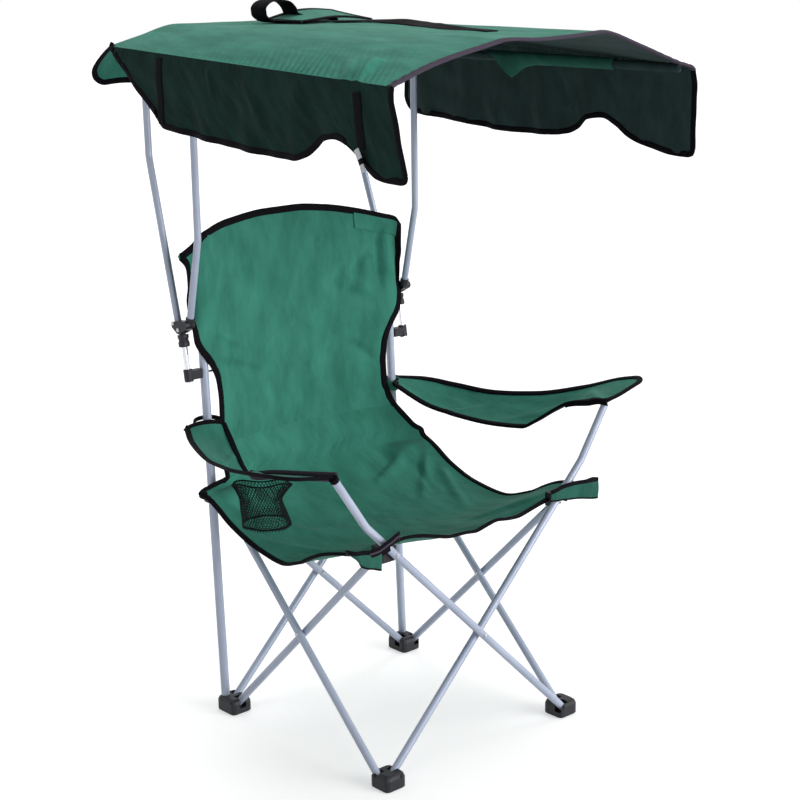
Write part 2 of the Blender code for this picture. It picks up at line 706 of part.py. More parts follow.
def make_bracket(sx):
    """The seat corner bracket behind a front bar, which holds the side bar's end."""
    name = f"seat_bracket_{side_word(sx)}"
    cross, side = corner_shifts(sx, FRONT, False)
    face = cross + BAR_RADIUS + GAP
    half = BAR_RADIUS + SLOT_CLEAR
    wall = EYE_WALL
    span_a = (min(side - half, 0) - wall, FOOT_IN)
    z0, z1 = SEAT_PIN_Z - COLLAR_UP, SEAT_PIN_Z + COLLAR_UP
    corners = [inward(sx, FRONT, span_a[0], face, 0), inward(sx, FRONT, span_a[1], BRACKET_IN, 0)]
    x0, x1 = sorted(p.x for p in corners)
    y0, y1 = sorted(p.y for p in corners)
    block = outline_loft([rounded_rectangle(x0, x1, y0, y1, z, FOOT_CORNER / 4) for z in (z0, z1)])
    bracket = add_mesh(name, *block, "plastic", inward(sx, FRONT, 0, face, SEAT_PIN_Z))
    bracket["kind"] = "plastic"
    slot = slot_boxes(sx, FRONT, SEAT_PIN_Z, False)[1]
    boolean(bracket, add_mesh("cutter", *slot, "plastic"), "DIFFERENCE")
    side_pin = headed_pin(inward(sx, FRONT, span_a[0], PIN_INSET, SEAT_PIN_Z), Vector((-sx, 0, 0)),
                          side + half - span_a[0] + PIN_SEAT, seated=True)
    boolean(bracket, add_mesh("cutter", *side_pin, "plastic"), "UNION")
    front = BAR_RADIUS - cross
    depth = (face + BRACKET_IN) / 2
    bolt = headed_pin(inward(sx, FRONT, PIN_INSET, -front, SEAT_PIN_Z), Vector((0, -FRONT, 0)),
                      front + depth)
    add_mesh(f"seat_bolt_{side_word(sx)}", *bolt, "steel",
             inward(sx, FRONT, PIN_INSET, -front, SEAT_PIN_Z))
    radius, reach = PIN_RADIUS + GAP, OVERRUN + depth - face + GAP
    hole = turned([(0, 0), (radius, 0), (radius, reach), (0, reach)],
                  inward(sx, FRONT, PIN_INSET, face - OVERRUN, SEAT_PIN_Z),
                  Vector((0, -FRONT, 0)), 12)
    boolean(bracket, add_mesh("cutter", *hole, "plastic"), "DIFFERENCE")
    return bracket


def make_arm_plug(sx):
    """The plastic plug in the top of an arm post."""
    name = "front_bar_left_arm" if sx == LEFT else "front_bar_right_arm"
    bend, top = arm_bend_and_top(name)
    inner = BAR_RADIUS - TUBE_WALL - GAP
    verts, faces = turned([(0, -PLUG_DEPTH), (inner, -PLUG_DEPTH), (inner, GAP),
                           (BAR_RADIUS, GAP), (BAR_RADIUS, PLUG_HEAD / 2),
                           (BAR_RADIUS * 0.7, PLUG_HEAD), (0, PLUG_HEAD)], top, top - bend)
    return add_mesh(f"arm_post_plug_{side_word(sx)}", verts, faces, "plastic", top)


# Canopy carriers

def stub_axis(sx, along):
    """The point on a stub's line at a distance from the clamp's centre."""
    base = post_axis(sx, CLAMP_Z) + Vector((sx * CLAMP_OUT, 0, 0))
    return base + Vector((0, math.sin(STUB_LEAN), math.cos(STUB_LEAN))) * along


def make_carrier(sx):
    """Clamp, clamp screw, plated stub that slides in the clamp, and the pivot base on the stub."""
    word = side_word(sx)
    centre = stub_axis(sx, 0)
    post = post_axis(sx, CLAMP_Z)
    up = Vector((0, math.sin(STUB_LEAN), math.cos(STUB_LEAN)))
    stub_outer = STUB_RADIUS + GAP + CLAMP_WALL
    saddle = post.x + sx * (POST_RADIUS + GAP)
    sleeve = turned([(0, 0), (stub_outer, 0), (stub_outer, 2 * CLAMP_HALF), (0, 2 * CLAMP_HALF)],
                    centre - up * CLAMP_HALF, up)
    clamp = add_mesh(f"canopy_clamp_{word}", *sleeve, "plastic", centre)
    clamp["kind"] = "plastic"
    web = box((centre.x, centre.y - stub_outer * 0.8, CLAMP_Z - CLAMP_HALF * 0.75),
              (saddle, centre.y + stub_outer * 0.8, CLAMP_Z + CLAMP_HALF * 0.75))
    boolean(clamp, add_mesh("cutter", *web, "plastic"), "UNION")
    through = 2 * (CLAMP_HALF + OVERRUN)
    bore = turned([(0, 0), (STUB_RADIUS + GAP, 0), (STUB_RADIUS + GAP, through), (0, through)],
                  centre - up * through / 2, up)
    boolean(clamp, add_mesh("cutter", *bore, "plastic"), "DIFFERENCE")
    inside = post.x - sx * (POST_RADIUS + SCREW_TIP)
    screw_start = centre.x - sx * (STUB_RADIUS + GAP + CLAMP_WALL / 2)
    across = Vector((-sx, 0, 0))
    screw_base = Vector((screw_start, post.y, CLAMP_Z))
    length = abs(inside - screw_start)
    screw = turned([(0, 0), (PIN_RADIUS, 0), (PIN_RADIUS, length - PIN_RADIUS),
                    (PIN_RADIUS / 2, length), (0, length)], screw_base, across, 12)
    nut_at = post.x - sx * (POST_RADIUS + GAP) - screw_start
    add_mesh(f"clamp_screw_{word}", *screw, "steel", screw_base)
    hole = turned([(0, 0), (PIN_RADIUS + GAP, 0), (PIN_RADIUS + GAP, abs(nut_at)),
                   (0, abs(nut_at))], screw_base - across * GAP, across, 12)
    boolean(clamp, add_mesh("cutter", *hole, "plastic"), "DIFFERENCE")

    foot = centre - up * (CLAMP_HALF + GAP + STUB_LIP)
    stub_end = stub_axis(sx, GRIP_START + STUB_IN_GRIP)
    length = (stub_end - foot).length
    lip_radius = STUB_RADIUS + STUB_LIP
    verts, faces = turned([(0, 0), (lip_radius, 0), (lip_radius, STUB_LIP), (STUB_RADIUS, STUB_LIP),
                           (STUB_RADIUS, length), (0, length)], foot, up)
    add_mesh(f"canopy_stub_{word}", verts, faces, "chrome", foot)

    grip_base = stub_axis(sx, GRIP_START)
    rim = GRIP_RADIUS * 0.12
    grip = add_mesh(f"pivot_base_{word}", *turned([
        (0, 0), (GRIP_RADIUS - rim, 0), (GRIP_RADIUS, rim), (GRIP_RADIUS, GRIP_LENGTH * 0.35),
        (GRIP_RADIUS * 0.84, GRIP_LENGTH * 0.55), (GRIP_RADIUS, GRIP_LENGTH * 0.78),
        (GRIP_RADIUS, GRIP_LENGTH - GAP), (0, GRIP_LENGTH - GAP)], grip_base, up),
        "plastic", grip_base)
    grip["kind"] = "plastic"
    pivot = stub_axis(sx, PIVOT_ALONG)
    tongue = HEAD_WIDTH / 6
    eye = turned([(0, -tongue), (PIVOT_EYE, -tongue), (PIVOT_EYE, tongue), (0, tongue)],
                 pivot, Vector((1, 0, 0)))
    boolean(grip, add_mesh("cutter", *eye, "plastic"), "UNION")
    neck = box((pivot.x - tongue, pivot.y - PIVOT_EYE * 0.85, grip_base.z + GRIP_LENGTH * 0.7),
               (pivot.x + tongue, pivot.y + PIVOT_EYE * 0.75, pivot.z))
    boolean(grip, add_mesh("cutter", *neck, "plastic"), "UNION")
    reach = STUB_RADIUS + GAP
    depth = STUB_IN_GRIP + GAP
    slide = turned([(0, 0), (reach, 0), (reach, depth + OVERRUN), (0, depth + OVERRUN)],
                   grip_base - up * OVERRUN, up)
    boolean(grip, add_mesh("cutter", *slide, "plastic"), "DIFFERENCE")
    boolean(grip, rod_cutter([(pivot, Vector((1, 0, 0)))], PIN_RADIUS + GAP, HEAD_WIDTH),
            "DIFFERENCE")
    bolt = headed_pin(pivot - Vector((HEAD_WIDTH / 2, 0, 0)), Vector((1, 0, 0)), HEAD_WIDTH,
                      second_head=True)
    add_mesh(f"tilt_bolt_{word}", *bolt, "steel", pivot)
    return grip


def hull(points):
    """The convex outline of flat (y, z) points, anticlockwise."""
    points = sorted(points)

    def half(run):
        chain = []
        for p in run:
            while len(chain) > 1 and (
                (chain[-1][0] - chain[-2][0]) * (p[1] - chain[-2][1])
                - (chain[-1][1] - chain[-2][1]) * (p[0] - chain[-2][0])
            ) <= 0:
                chain.pop()
            chain.append(p)
        return chain[:-1]

    return half(points) + half(points[::-1])


def circle_points(centre, radius, count=12):
    return [(centre.y + radius * math.cos(math.tau * k / count),
             centre.z + radius * math.sin(math.tau * k / count)) for k in range(count)]


def rod_paths(sx):
    """The centre lines of the front rod and the rear rod on one side."""
    front = [
        Vector((sx * ROD_X, FRONT_ROD_FOOT_Y, FRONT_ROD_FOOT_Z)),
        Vector((sx * ROD_X, FRONT_ROD_Y, FRONT_BEND_Z)),
        Vector((sx * ROD_X, FRONT_ROD_Y, FRONT_TURN_Z)),
        under_canopy(sx * FRONT_TIP_X, FRONT_TIP_Y),
    ]
    rear = [
        Vector((sx * ROD_X, REAR_ROD_FOOT_Y, REAR_ROD_FOOT_Z)),
        Vector((sx * REAR_BEND_X, REAR_BEND_Y, REAR_BEND_Z)),
        Vector((sx * REAR_TOP_X, REAR_TOP_Y, REAR_TURN_Z)),
        under_canopy(sx * REAR_TIP_X, REAR_TIP_Y),
    ]
    return front, rear


def make_head(sx):
    """The swivel head: a fork over the grip's tongue, a socket for the front rod, a pinned rear rod."""
    word = side_word(sx)
    pivot = stub_axis(sx, PIVOT_ALONG)
    front, rear = rod_paths(sx)
    front_along = (front[1] - front[0]).normalized()
    rear_along = (rear[1] - rear[0]).normalized()
    tongue = HEAD_WIDTH / 6
    outline = hull(circle_points(pivot, HEAD_ROUND)
                   + circle_points(front[0], HEAD_FRONT, 8)
                   + circle_points(rear[0] + rear_along * ROD_PIN_ALONG / 2, HEAD_REAR, 8))
    levels = [[Vector((pivot.x + dx, y, z)) for y, z in outline]
              for dx in (-HEAD_WIDTH / 2, HEAD_WIDTH / 2)]
    head = add_mesh(f"swivel_head_{word}", *outline_loft(levels), "plastic", pivot)
    head["kind"] = "plastic"
    radius = ROD_RADIUS + GAP
    socket = turned([(0, 0), (radius + SOCKET_WALL, 0), (radius + SOCKET_WALL, SOCKET_LENGTH),
                     (0, SOCKET_LENGTH)], front[0], front_along)
    boolean(head, add_mesh("cutter", *socket, "plastic"), "UNION")
    across = Vector((1, 0, 0))
    room = PIVOT_EYE + 2 * GAP
    eye = turned([(0, -tongue - GAP), (room, -tongue - GAP), (room, tongue + GAP),
                  (0, tongue + GAP)], pivot, across)
    boolean(head, add_mesh("cutter", *eye, "plastic"), "DIFFERENCE")
    below = box((pivot.x - tongue - GAP, pivot.y - HEAD_WIDTH, pivot.z - HEAD_WIDTH),
                (pivot.x + tongue + GAP, pivot.y + HEAD_WIDTH, pivot.z))
    boolean(head, add_mesh("cutter", *below, "plastic"), "DIFFERENCE")
    for foot, along in ((front[0], front_along), (rear[0], rear_along)):
        bore = turned([(0, -GAP), (radius, -GAP), (radius, SOCKET_LENGTH + OVERRUN),
                       (0, SOCKET_LENGTH + OVERRUN)], foot, along)
        boolean(head, add_mesh("cutter", *bore, "plastic"), "DIFFERENCE")
    pin_at = rear[0] + rear_along * ROD_PIN_ALONG
    pin_at.x = pivot.x
    holes = rod_cutter([(pivot, across), (pin_at, across)], PIN_RADIUS + GAP, HEAD_WIDTH)
    boolean(head, holes, "DIFFERENCE")
    pin = headed_pin(pin_at - across * HEAD_WIDTH / 2, across, HEAD_WIDTH, second_head=True)
    add_mesh(f"rod_pin_{word}", *pin, "steel", pin_at)

    tube(f"front_rod_{word}", bent(front, ROD_BEND_RADIUS, 4), ROD_RADIUS, "paint", front[0])
    rod = tube(f"rear_rod_{word}", bent(rear, ROD_BEND_RADIUS, 4), ROD_RADIUS, "paint", rear[0])
    boolean(rod, rod_cutter([(pin_at, across)], PIN_RADIUS + GAP, HEAD_WIDTH), "DIFFERENCE")


# Canopy cloth

def ridge_z(y):
    share = (y - CANOPY_FRONT_Y) / (CANOPY_REAR_Y - CANOPY_FRONT_Y)
    return CANOPY_FRONT_Z + share * (CANOPY_REAR_Z - CANOPY_FRONT_Z)


def canopy_z(x, y):
    """Height of the canopy's top cloth, which arches between its two side ridges."""
    return ridge_z(y) + CANOPY_ARCH * (1 - abs(x / CANOPY_HALF) ** CANOPY_ARCH_POWER)


def under_canopy(x, y):
    """A rod tip's centre, just under the canopy's top cloth."""
    step = CLOTH
    slope = (canopy_z(abs(x) + step, y) - canopy_z(abs(x), y)) / step
    clear = (ROD_RADIUS + CLOTH / 2 + GAP) * math.hypot(1, slope)
    return Vector((x, y, canopy_z(x, y) - clear))


def canopy_top(u, v):
    x = CANOPY_HALF * (2 * u - 1)
    y = CANOPY_FRONT_Y + (CANOPY_REAR_Y - CANOPY_FRONT_Y) * v
    return Vector((x, y, canopy_z(x, y)))


def valance(sx):
    """A side valance: it hangs from the ridge with a curved hem and soft upright folds."""
    out = CANOPY_HALF + CLOTH / 2 + 2.5 * GAP

    def surface(u, v):
        y_top = CANOPY_REAR_Y + (CANOPY_FRONT_Y - CANOPY_REAR_Y) * u
        y_hem = VALANCE_REAR_Y + (VALANCE_FRONT_Y - VALANCE_REAR_Y) * u
        drop = VALANCE_DROP * smooth_curve([(share,) for share in HEM_SHARES], u)[0]
        top = Vector((0, y_top, ridge_z(y_top)))
        hem = Vector((0, y_hem, ridge_z(y_hem) - drop))
        point = top.lerp(hem, v)
        fold = VALANCE_FOLD * math.sin(math.tau * VALANCE_FOLDS * u)
        point.x = sx * (out + v * (VALANCE_FLARE + fold))
        return point

    return surface


def rear_flap(u, v):
    x = FLAP_HALF * (2 * u - 1)
    start = CANOPY_REAR_Y + CLOTH / 2
    return Vector((x, start + FLAP_REACH * v, canopy_z(x, CANOPY_REAR_Y) - FLAP_DROP * v))


def strap(start_x, end_x, arch):
    """A flat carrying strap on top of the canopy, with its middle lifted."""
    lift = (STRAP_THICK + CLOTH) / 2 + GAP

    def surface(u, v):
        x = start_x + (end_x - start_x) * u
        y = STRAP_Y + STRAP_WIDTH * (v - 0.5)
        return Vector((x, y, canopy_z(x, y) + lift + arch * math.sin(math.pi * u)))

    return surface


def canopy_pocket(u, v):
    """The small pocket that hangs under the front of the canopy."""
    x = POCKET_HALF * (2 * u - 1)
    top = canopy_z(x, POCKET_Y) - CLOTH / 2 - GAP
    bulge = POCKET_DROP / 4 * math.sin(math.pi * v)
    return Vector((x, POCKET_Y + bulge, top - CLOTH / 4 - POCKET_DROP * v))


# Sling cloth

def cloth_front_y(z):
    """Where cloth lies just in front of the back posts."""
    return post_axis(RIGHT, z).y - POST_RADIUS - 4 * GAP - CLOTH / 2


def back_surface(u, v):
    t = 2 * u - 1
    side = CORNER + POST_OUT
    half = smooth_curve([(EAR_HALF * share,) for share in EAR_HALF_SHARES]
                        + [(side * share,) for share in BACK_SIDE_SHARES], v)[0]
    arch = (BACK_TOP_Z - EAR_Z) * abs(t) ** 2.5 * (1 - v) ** 3
    z = BACK_TOP_Z + (WAIST_Z - BACK_TOP_Z) * v - arch
    between_posts = min(abs(t) * half / (CORNER - 2 * POST_RADIUS), 1)
    sag = BACK_SAG * (1 - between_posts ** 2.2)
    return Vector((t * half, cloth_front_y(z) + sag, z))


def seat_surface(u, v):
    t = 2 * u - 1
    edge_y, edge_z = smooth_curve(SEAT_EDGE_SHARES, v)
    mid_y, mid_z = smooth_curve(SEAT_MIDDLE_SHARES, v)
    half = SEAT_HALF * smooth_curve([(share,) for share in SEAT_HALF_SHARES], v)[0]
    waist_half = (CORNER + POST_OUT) * BACK_SIDE_SHARES[-1]
    waist_flat = waist_half / (CORNER - 2 * POST_RADIUS) - 1
    g = min(abs(t) * (1 + waist_flat * (1 - v) ** 6), 1) ** 2.2
    y = CORNER * (mid_y * (1 - g) + edge_y * g)
    z = SEAT_PIN_Z * (mid_z * (1 - g) + edge_z * g)
    return Vector((t * half, y, z))


def part_of(surface, v0, v1):
    """The stretch of a surface between two shares of its length."""
    return lambda u, v: surface(u, v0 + (v1 - v0) * v)


def make_back():
    """The back cloth, with a sleeve over the top of each post."""
    seam = GAP / (BACK_TOP_Z - WAIST_Z)
    back = sheet("back_cloth", part_of(back_surface, 0, 1 - seam), 16, 12, "green_cloth")
    for sx in (RIGHT, LEFT):
        top = post_axis(sx, POST_TOP_Z + PLUG_HEAD + GAP)
        add_sleeve(back, post_axis(sx, POST_TOP_Z - SLEEVE_LENGTH), top, True)
    return back


def add_sleeve(cloth, low, high, closed_top):
    """Join a round cloth sleeve for a post on to a cloth, from one point to another."""
    along = (high - low).normalized()
    bore = POST_RADIUS + GAP
    outer = bore + CLOTH
    end = (high - low).length
    over = 0 if closed_top else OVERRUN
    cap = CLOTH if closed_top else 0
    sleeve = turned([(0, 0), (outer, 0), (outer, end + cap), (0, end + cap)], low, along)
    boolean(cloth, add_mesh("cutter", *sleeve, "green_cloth"), "UNION")
    hole = turned([(0, -OVERRUN), (bore, -OVERRUN), (bore, end + over), (0, end + over)], low, along)
    boolean(cloth, add_mesh("cutter", *hole, "green_cloth"), "DIFFERENCE")


def armrest_surface(sx):
    _, arm_top = arm_bend_and_top("front_bar_right_arm")

    def surface(u, v):
        inner = smooth_curve(ARM_INNER_SHARES, v)
        outer = smooth_curve(ARM_OUTER_SHARES, v)
        x, y, z = (a + (b - a) * u for a, b in zip(inner, outer))
        post_x = CORNER + POST_OUT
        return Vector((sx * (post_x + x * (ARM_REACH_X - post_x)), y * CORNER, z * arm_top.z))

    return surface


def height_on(surface, x, y):
    """Height of a surface over a point, found by stepping towards it."""
    u = v = 0.5
    step = 1e-3
    for _ in range(20):
        here = surface(u, v)
        du = (surface(u + step, v) - here) / step
        dv = (surface(u, v + step) - here) / step
        scale = du.x * dv.y - du.y * dv.x
        ex, ey = x - here.x, y - here.y
        u = min(max(u + (ex * dv.y - ey * dv.x) / scale, 0), 1 - step)
        v = min(max(v + (du.x * ey - du.y * ex) / scale, 0), 1 - step)
    return surface(u, v).z


def make_cup(arm):
    """The mesh cup holder: an open cup whose rim follows the underside of the armrest."""
    segments, levels = 20, 4
    rings = []
    for wall in (0, CUP_WALL):
        for level in (range(levels + 1) if wall == 0 else range(levels, -1, -1)):
            share = level / levels
            radius = CUP_RADIUS * (CUP_FOOT_SHARE + (1 - CUP_FOOT_SHARE) * share) - wall
            ring = []
            for k in range(segments):
                angle = math.tau * k / segments
                x, y = CUP_X + radius * math.cos(angle), CUP_Y + radius * math.sin(angle)
                top = height_on(arm, x, y) - CLOTH / 2 * 1.15 - GAP
                floor = CUP_BOTTOM_Z + wall
                ring.append(Vector((x, y, floor + share * (top - floor))))
            rings.append(ring)
    return add_mesh("cup_holder", *outline_loft(rings), "mesh_cloth",
                    Vector((CUP_X, CUP_Y, CUP_BOTTOM_Z)), smooth=50)


def make_cloth():
    sheet("canopy_top", canopy_top, 16, 6, "green_cloth")
    for sx in (RIGHT, LEFT):
        sheet(f"valance_{side_word(sx)}", valance(sx), 24, 2, "dark_cloth")
    sheet("rear_flap", rear_flap, 12, 1, "green_cloth")
    sheet("carry_strap_right", strap(-0.38 * CANOPY_HALF, 0.04 * CANOPY_HALF, STRAP_ARCH),
          10, 1, "dark_cloth", thickness=STRAP_THICK)
    sheet("carry_strap_left", strap(0.14 * CANOPY_HALF, 0.66 * CANOPY_HALF, 0),
          6, 1, "dark_cloth", thickness=STRAP_THICK)
    sheet("canopy_pocket", canopy_pocket, 6, 4, "green_cloth")
    make_back()
    seam = GAP / (2 * SEAT_HALF)
    sheet("seat_cloth_rear", part_of(seat_surface, seam, 0.5 - seam), 14, 6, "green_cloth")
    sheet("seat_cloth_front", part_of(seat_surface, 0.5 + seam, 1), 14, 6, "green_cloth")
    for sx in (RIGHT, LEFT):
        arm = armrest_surface(sx)
        cloth = sheet(f"armrest_{side_word(sx)}", arm, 3, 9, "green_cloth",
                      post_axis(sx, ARM_LOOP_Z))
        low, high = (post_axis(sx, ARM_LOOP_Z + d) for d in (-ARM_LOOP_HEIGHT / 2, ARM_LOOP_HEIGHT / 2))
        add_sleeve(cloth, low, high, False)
        if sx == RIGHT:
            mouth = CUP_RADIUS - CUP_WALL
            cutter = rod_cutter([(Vector((CUP_X, CUP_Y, CUP_BOTTOM_Z)), Vector((0, 0, 1)))],
                                mouth, CUP_BOTTOM_Z / 2, 20)
            boolean(cloth, cutter, "DIFFERENCE")
            make_cup(arm)


def main():
    clear_scene()
    for name in (*CROSS_BARS, *SIDE_BARS):
        make_bar(name)
    y, x = Vector((0, 1, 0)), Vector((1, 0, 0))
    make_rivet("rivet_front", Vector((0, -CORNER, MIDDLE_Z)), y)
    make_rivet("rivet_back", Vector((0, CORNER, MIDDLE_Z)), y)
    make_rivet("rivet_right", Vector((-CORNER, 0, MIDDLE_Z)), x)
    make_rivet("rivet_left", Vector((CORNER, 0, MIDDLE_Z)), x)
    for sx in (RIGHT, LEFT):
        make_foot(sx, FRONT)
        make_foot(sx, REAR)
        make_post(sx)
        make_collar(sx)
        make_bracket(sx)
        make_arm_plug(sx)
        make_carrier(sx)
        make_head(sx)
    make_cloth()


main()
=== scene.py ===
# %% [markdown]
# # A folding camp chair with a sun canopy
# The chair is a cage of crossed steel tubes that carries a cloth sling, with a cloth roof on
# four bent rods. The measured frame comes first, so that every piece made here sits where
# the real one sits and moves with the part of the chair that carries it.

# %% Load the measured frame
import math

import bpy
import numpy as np
from mathutils import Matrix, Vector
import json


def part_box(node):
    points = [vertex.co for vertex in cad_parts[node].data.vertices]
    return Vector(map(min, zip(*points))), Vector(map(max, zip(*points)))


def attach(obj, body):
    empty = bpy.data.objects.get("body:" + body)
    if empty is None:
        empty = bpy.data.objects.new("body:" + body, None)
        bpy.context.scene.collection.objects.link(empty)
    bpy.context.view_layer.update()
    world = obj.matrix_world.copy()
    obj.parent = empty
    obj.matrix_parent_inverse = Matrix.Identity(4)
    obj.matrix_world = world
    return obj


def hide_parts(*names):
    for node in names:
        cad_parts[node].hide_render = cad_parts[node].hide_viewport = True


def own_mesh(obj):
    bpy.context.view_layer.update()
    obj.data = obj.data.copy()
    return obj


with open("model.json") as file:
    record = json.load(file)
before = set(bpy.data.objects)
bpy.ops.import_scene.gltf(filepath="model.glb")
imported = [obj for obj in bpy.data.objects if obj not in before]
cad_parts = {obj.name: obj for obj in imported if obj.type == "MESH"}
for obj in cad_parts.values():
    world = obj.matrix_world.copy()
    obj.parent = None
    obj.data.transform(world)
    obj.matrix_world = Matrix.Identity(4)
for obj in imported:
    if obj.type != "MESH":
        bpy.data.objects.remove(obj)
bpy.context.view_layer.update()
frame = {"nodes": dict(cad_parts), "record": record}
nodes = frame["nodes"]

# %% [markdown]
# ## Camera
# A product photograph is taken from far off with a long lens, so that upright tubes stay
# upright. The camera stands 3.9 m away on the sitter's right, a little above the armrests,
# and looks down by 15 degrees.

# %% Camera
camera_place = Vector((-2.419, -2.7125, 1.6611))
turn, tilt, roll = (math.radians(a) for a in (-41.975, 14.693, -0.826))
back = Vector((math.sin(turn) * math.cos(tilt), -math.cos(turn) * math.cos(tilt), math.sin(tilt)))
level_right = (-back).cross(Vector((0, 0, 1))).normalized()
level_up = level_right.cross(-back)
right = level_right * math.cos(roll) + level_up * math.sin(roll)
up = level_up * math.cos(roll) - level_right * math.sin(roll)
camera = bpy.data.objects.new("photo_camera", bpy.data.cameras.new("photo_camera"))
camera.data.sensor_width = 36
camera.data.lens = 80.42
camera.matrix_world = Matrix((right, up, back)).transposed().to_4x4()
camera.matrix_world.translation = camera_place
bpy.context.scene.collection.objects.link(camera)
bpy.context.scene.camera = camera
print("camera looks along", [round(c, 3) for c in -back])

# %% [markdown]
# ## Nodes and colours
# Colours are picked from pictures as sRGB hex values, and a shader wants linear light. One
# function does that step for every colour here, and one adds a shader node with its settings
# and its links, so that a material reads as a short recipe.


# %% Nodes and colours
def linear(hex_colour, alpha=1.0):
    """An sRGB hex colour as the linear values that a shader takes."""
    parts = [int(hex_colour[i:i + 2], 16) / 255 for i in (1, 3, 5)]
    return (*[c / 12.92 if c <= 0.04045 else ((c + 0.055) / 1.055) ** 2.4 for c in parts], alpha)


def add(material, kind, inputs=(), **settings):
    """Add a node to a material or the world. An input is a value, or an output to link from."""
    tree = material.node_tree
    node = tree.nodes.new("ShaderNode" + kind)
    for name, value in settings.items():
        setattr(node, name, value)
    for name, value in dict(inputs).items():
        if isinstance(value, bpy.types.NodeSocket):
            tree.links.new(value, node.inputs[name])
        else:
            node.inputs[name].default_value = value
    return node


def start_material(name, **finish):
    """A new material whose shader gets these fixed finish values."""
    material = bpy.data.materials.new(name)
    material.use_nodes = True
    shader = material.node_tree.nodes["Principled BSDF"]
    for socket, value in finish.items():
        shader.inputs[socket.replace("_", " ")].default_value = value
    return material, shader


def plug(material, output, shader, socket):
    material.node_tree.links.new(output, shader.inputs[socket])


print("mid green in linear light:", [round(c, 3) for c in linear("#3C7A66")])

# %% [markdown]
# ## Studio
# The photograph is a cut-out on white under broad soft light from above and from the right of
# the picture, and the sides that face left fall into deep shade. A pale floor catches a soft
# shadow. Its own share of light counts only for what the camera and mirrors see, so it doesn't
# brighten the chair from below.

# %% Studio floor, lamps and sky
FLOOR_GLOW = 0.50           # share of white that the floor adds for camera and mirrors
SKY_LIGHT = 0.33            # strength of the sky's fill light on the chair
floor_paint, floor_shader = start_material("white_studio_floor", Roughness=0.9)
floor_shader.inputs["Base Color"].default_value = linear("#E6E6E6")
floor_shader.inputs["Emission Color"].default_value = linear("#FFFFFF")
rays = add(floor_paint, "LightPath")
seen = add(floor_paint, "Math", {0: rays.outputs["Is Camera Ray"], 1: rays.outputs["Is Glossy Ray"]},
           operation="MAXIMUM")
lift = add(floor_paint, "Math", {0: seen.outputs[0], 1: FLOOR_GLOW}, operation="MULTIPLY")
plug(floor_paint, lift.outputs[0], floor_shader, "Emission Strength")
floor_mesh = bpy.data.meshes.new("studio_floor")
floor_mesh.from_pydata([(-20, -20, 0), (20, -20, 0), (20, 20, 0), (-20, 20, 0)], [], [(0, 1, 2, 3)])
floor_mesh.materials.append(floor_paint)
studio_floor = bpy.data.objects.new("studio_floor", floor_mesh)
studio_floor.location.z = -0.0005
bpy.context.scene.collection.objects.link(studio_floor)


def soft_lamp(name, towards, power, spread):
    """A wide, far lamp that lights chair and floor evenly, from the given direction."""
    lamp = bpy.data.objects.new(name, bpy.data.lights.new(name, "SUN"))
    lamp.data.energy = power
    lamp.data.angle = math.radians(spread)
    lamp.rotation_euler = Vector(towards).to_track_quat("Z", "Y").to_euler()
    bpy.context.scene.collection.objects.link(lamp)


soft_lamp("top_softbox", (0.20, 0.10, 1.0), 1.2, 45)
soft_lamp("front_softbox", (0.45, -1.0, 0.32), 2.3, 40)
world = bpy.data.worlds.new("white_studio")
world.use_nodes = True
bpy.context.scene.world = world
sky = world.node_tree.nodes["Background"]
rays = add(world, "LightPath")
seen = add(world, "Math", {0: rays.outputs["Is Camera Ray"], 1: rays.outputs["Is Glossy Ray"]},
           operation="MAXIMUM")
strength = add(world, "MapRange", {"Value": seen.outputs[0], "To Min": SKY_LIGHT, "To Max": 1.0})
plug(world, strength.outputs["Result"], sky, "Strength")
sky.inputs["Color"].default_value = (1, 1, 1, 1)
bpy.context.scene.view_settings.view_transform = "Standard"

# %% [markdown]
# ## Frame finishes
# The tubes are steel with a baked powder coat in a light blue grey. Powder melts into a
# satin skin with a faint orange peel about a millimetre across, so its highlights are long
# and soft at the edge. A painted steel isn't a bare metal to the eye: most of what it sends
# back is the paint's own colour, under a clear gloss.

# %% Powder coated steel
PEEL_SCALE = 420.0          # noise cells of 2.4 mm, so bumps of about 1.2 mm
powder_coat, shader = start_material(
    "powder_coated_steel", Metallic=0.15, Roughness=0.36, Coat_Weight=0.2, Coat_Roughness=0.2)
where = add(powder_coat, "TexCoord")
peel = add(powder_coat, "TexNoise", {"Vector": where.outputs["Object"], "Scale": PEEL_SCALE, "Detail": 2.0})
drift = add(powder_coat, "TexNoise", {"Vector": where.outputs["Object"], "Scale": 9.0, "Detail": 3.0})
coat_colour = add(powder_coat, "ValToRGB", {"Fac": drift.outputs["Fac"]})
coat_colour.color_ramp.elements[0].position = 0.30
coat_colour.color_ramp.elements[0].color = linear("#9FA9BF")
coat_colour.color_ramp.elements[1].position = 0.72
coat_colour.color_ramp.elements[1].color = linear("#B2BBCF")
coat_bump = add(powder_coat, "Bump", {"Height": peel.outputs["Fac"], "Strength": 0.12, "Distance": 0.0004})
plug(powder_coat, coat_colour.outputs["Color"], shader, "Base Color")
plug(powder_coat, coat_bump.outputs["Normal"], shader, "Normal")
print(powder_coat.name, "has peel cells of", round(1000 / PEEL_SCALE, 1), "mm")

# %% [markdown]
# ## Moulded nylon
# Feet, collars, brackets, clamps and swivel heads are injection moulded nylon in black. The
# tool's surface leaves a fine grain, which dulls them to a low sheen, and handling leaves
# patches that are a little glossier. One noise gives the grain its bump, and a broader one
# moves the gloss and the colour together.

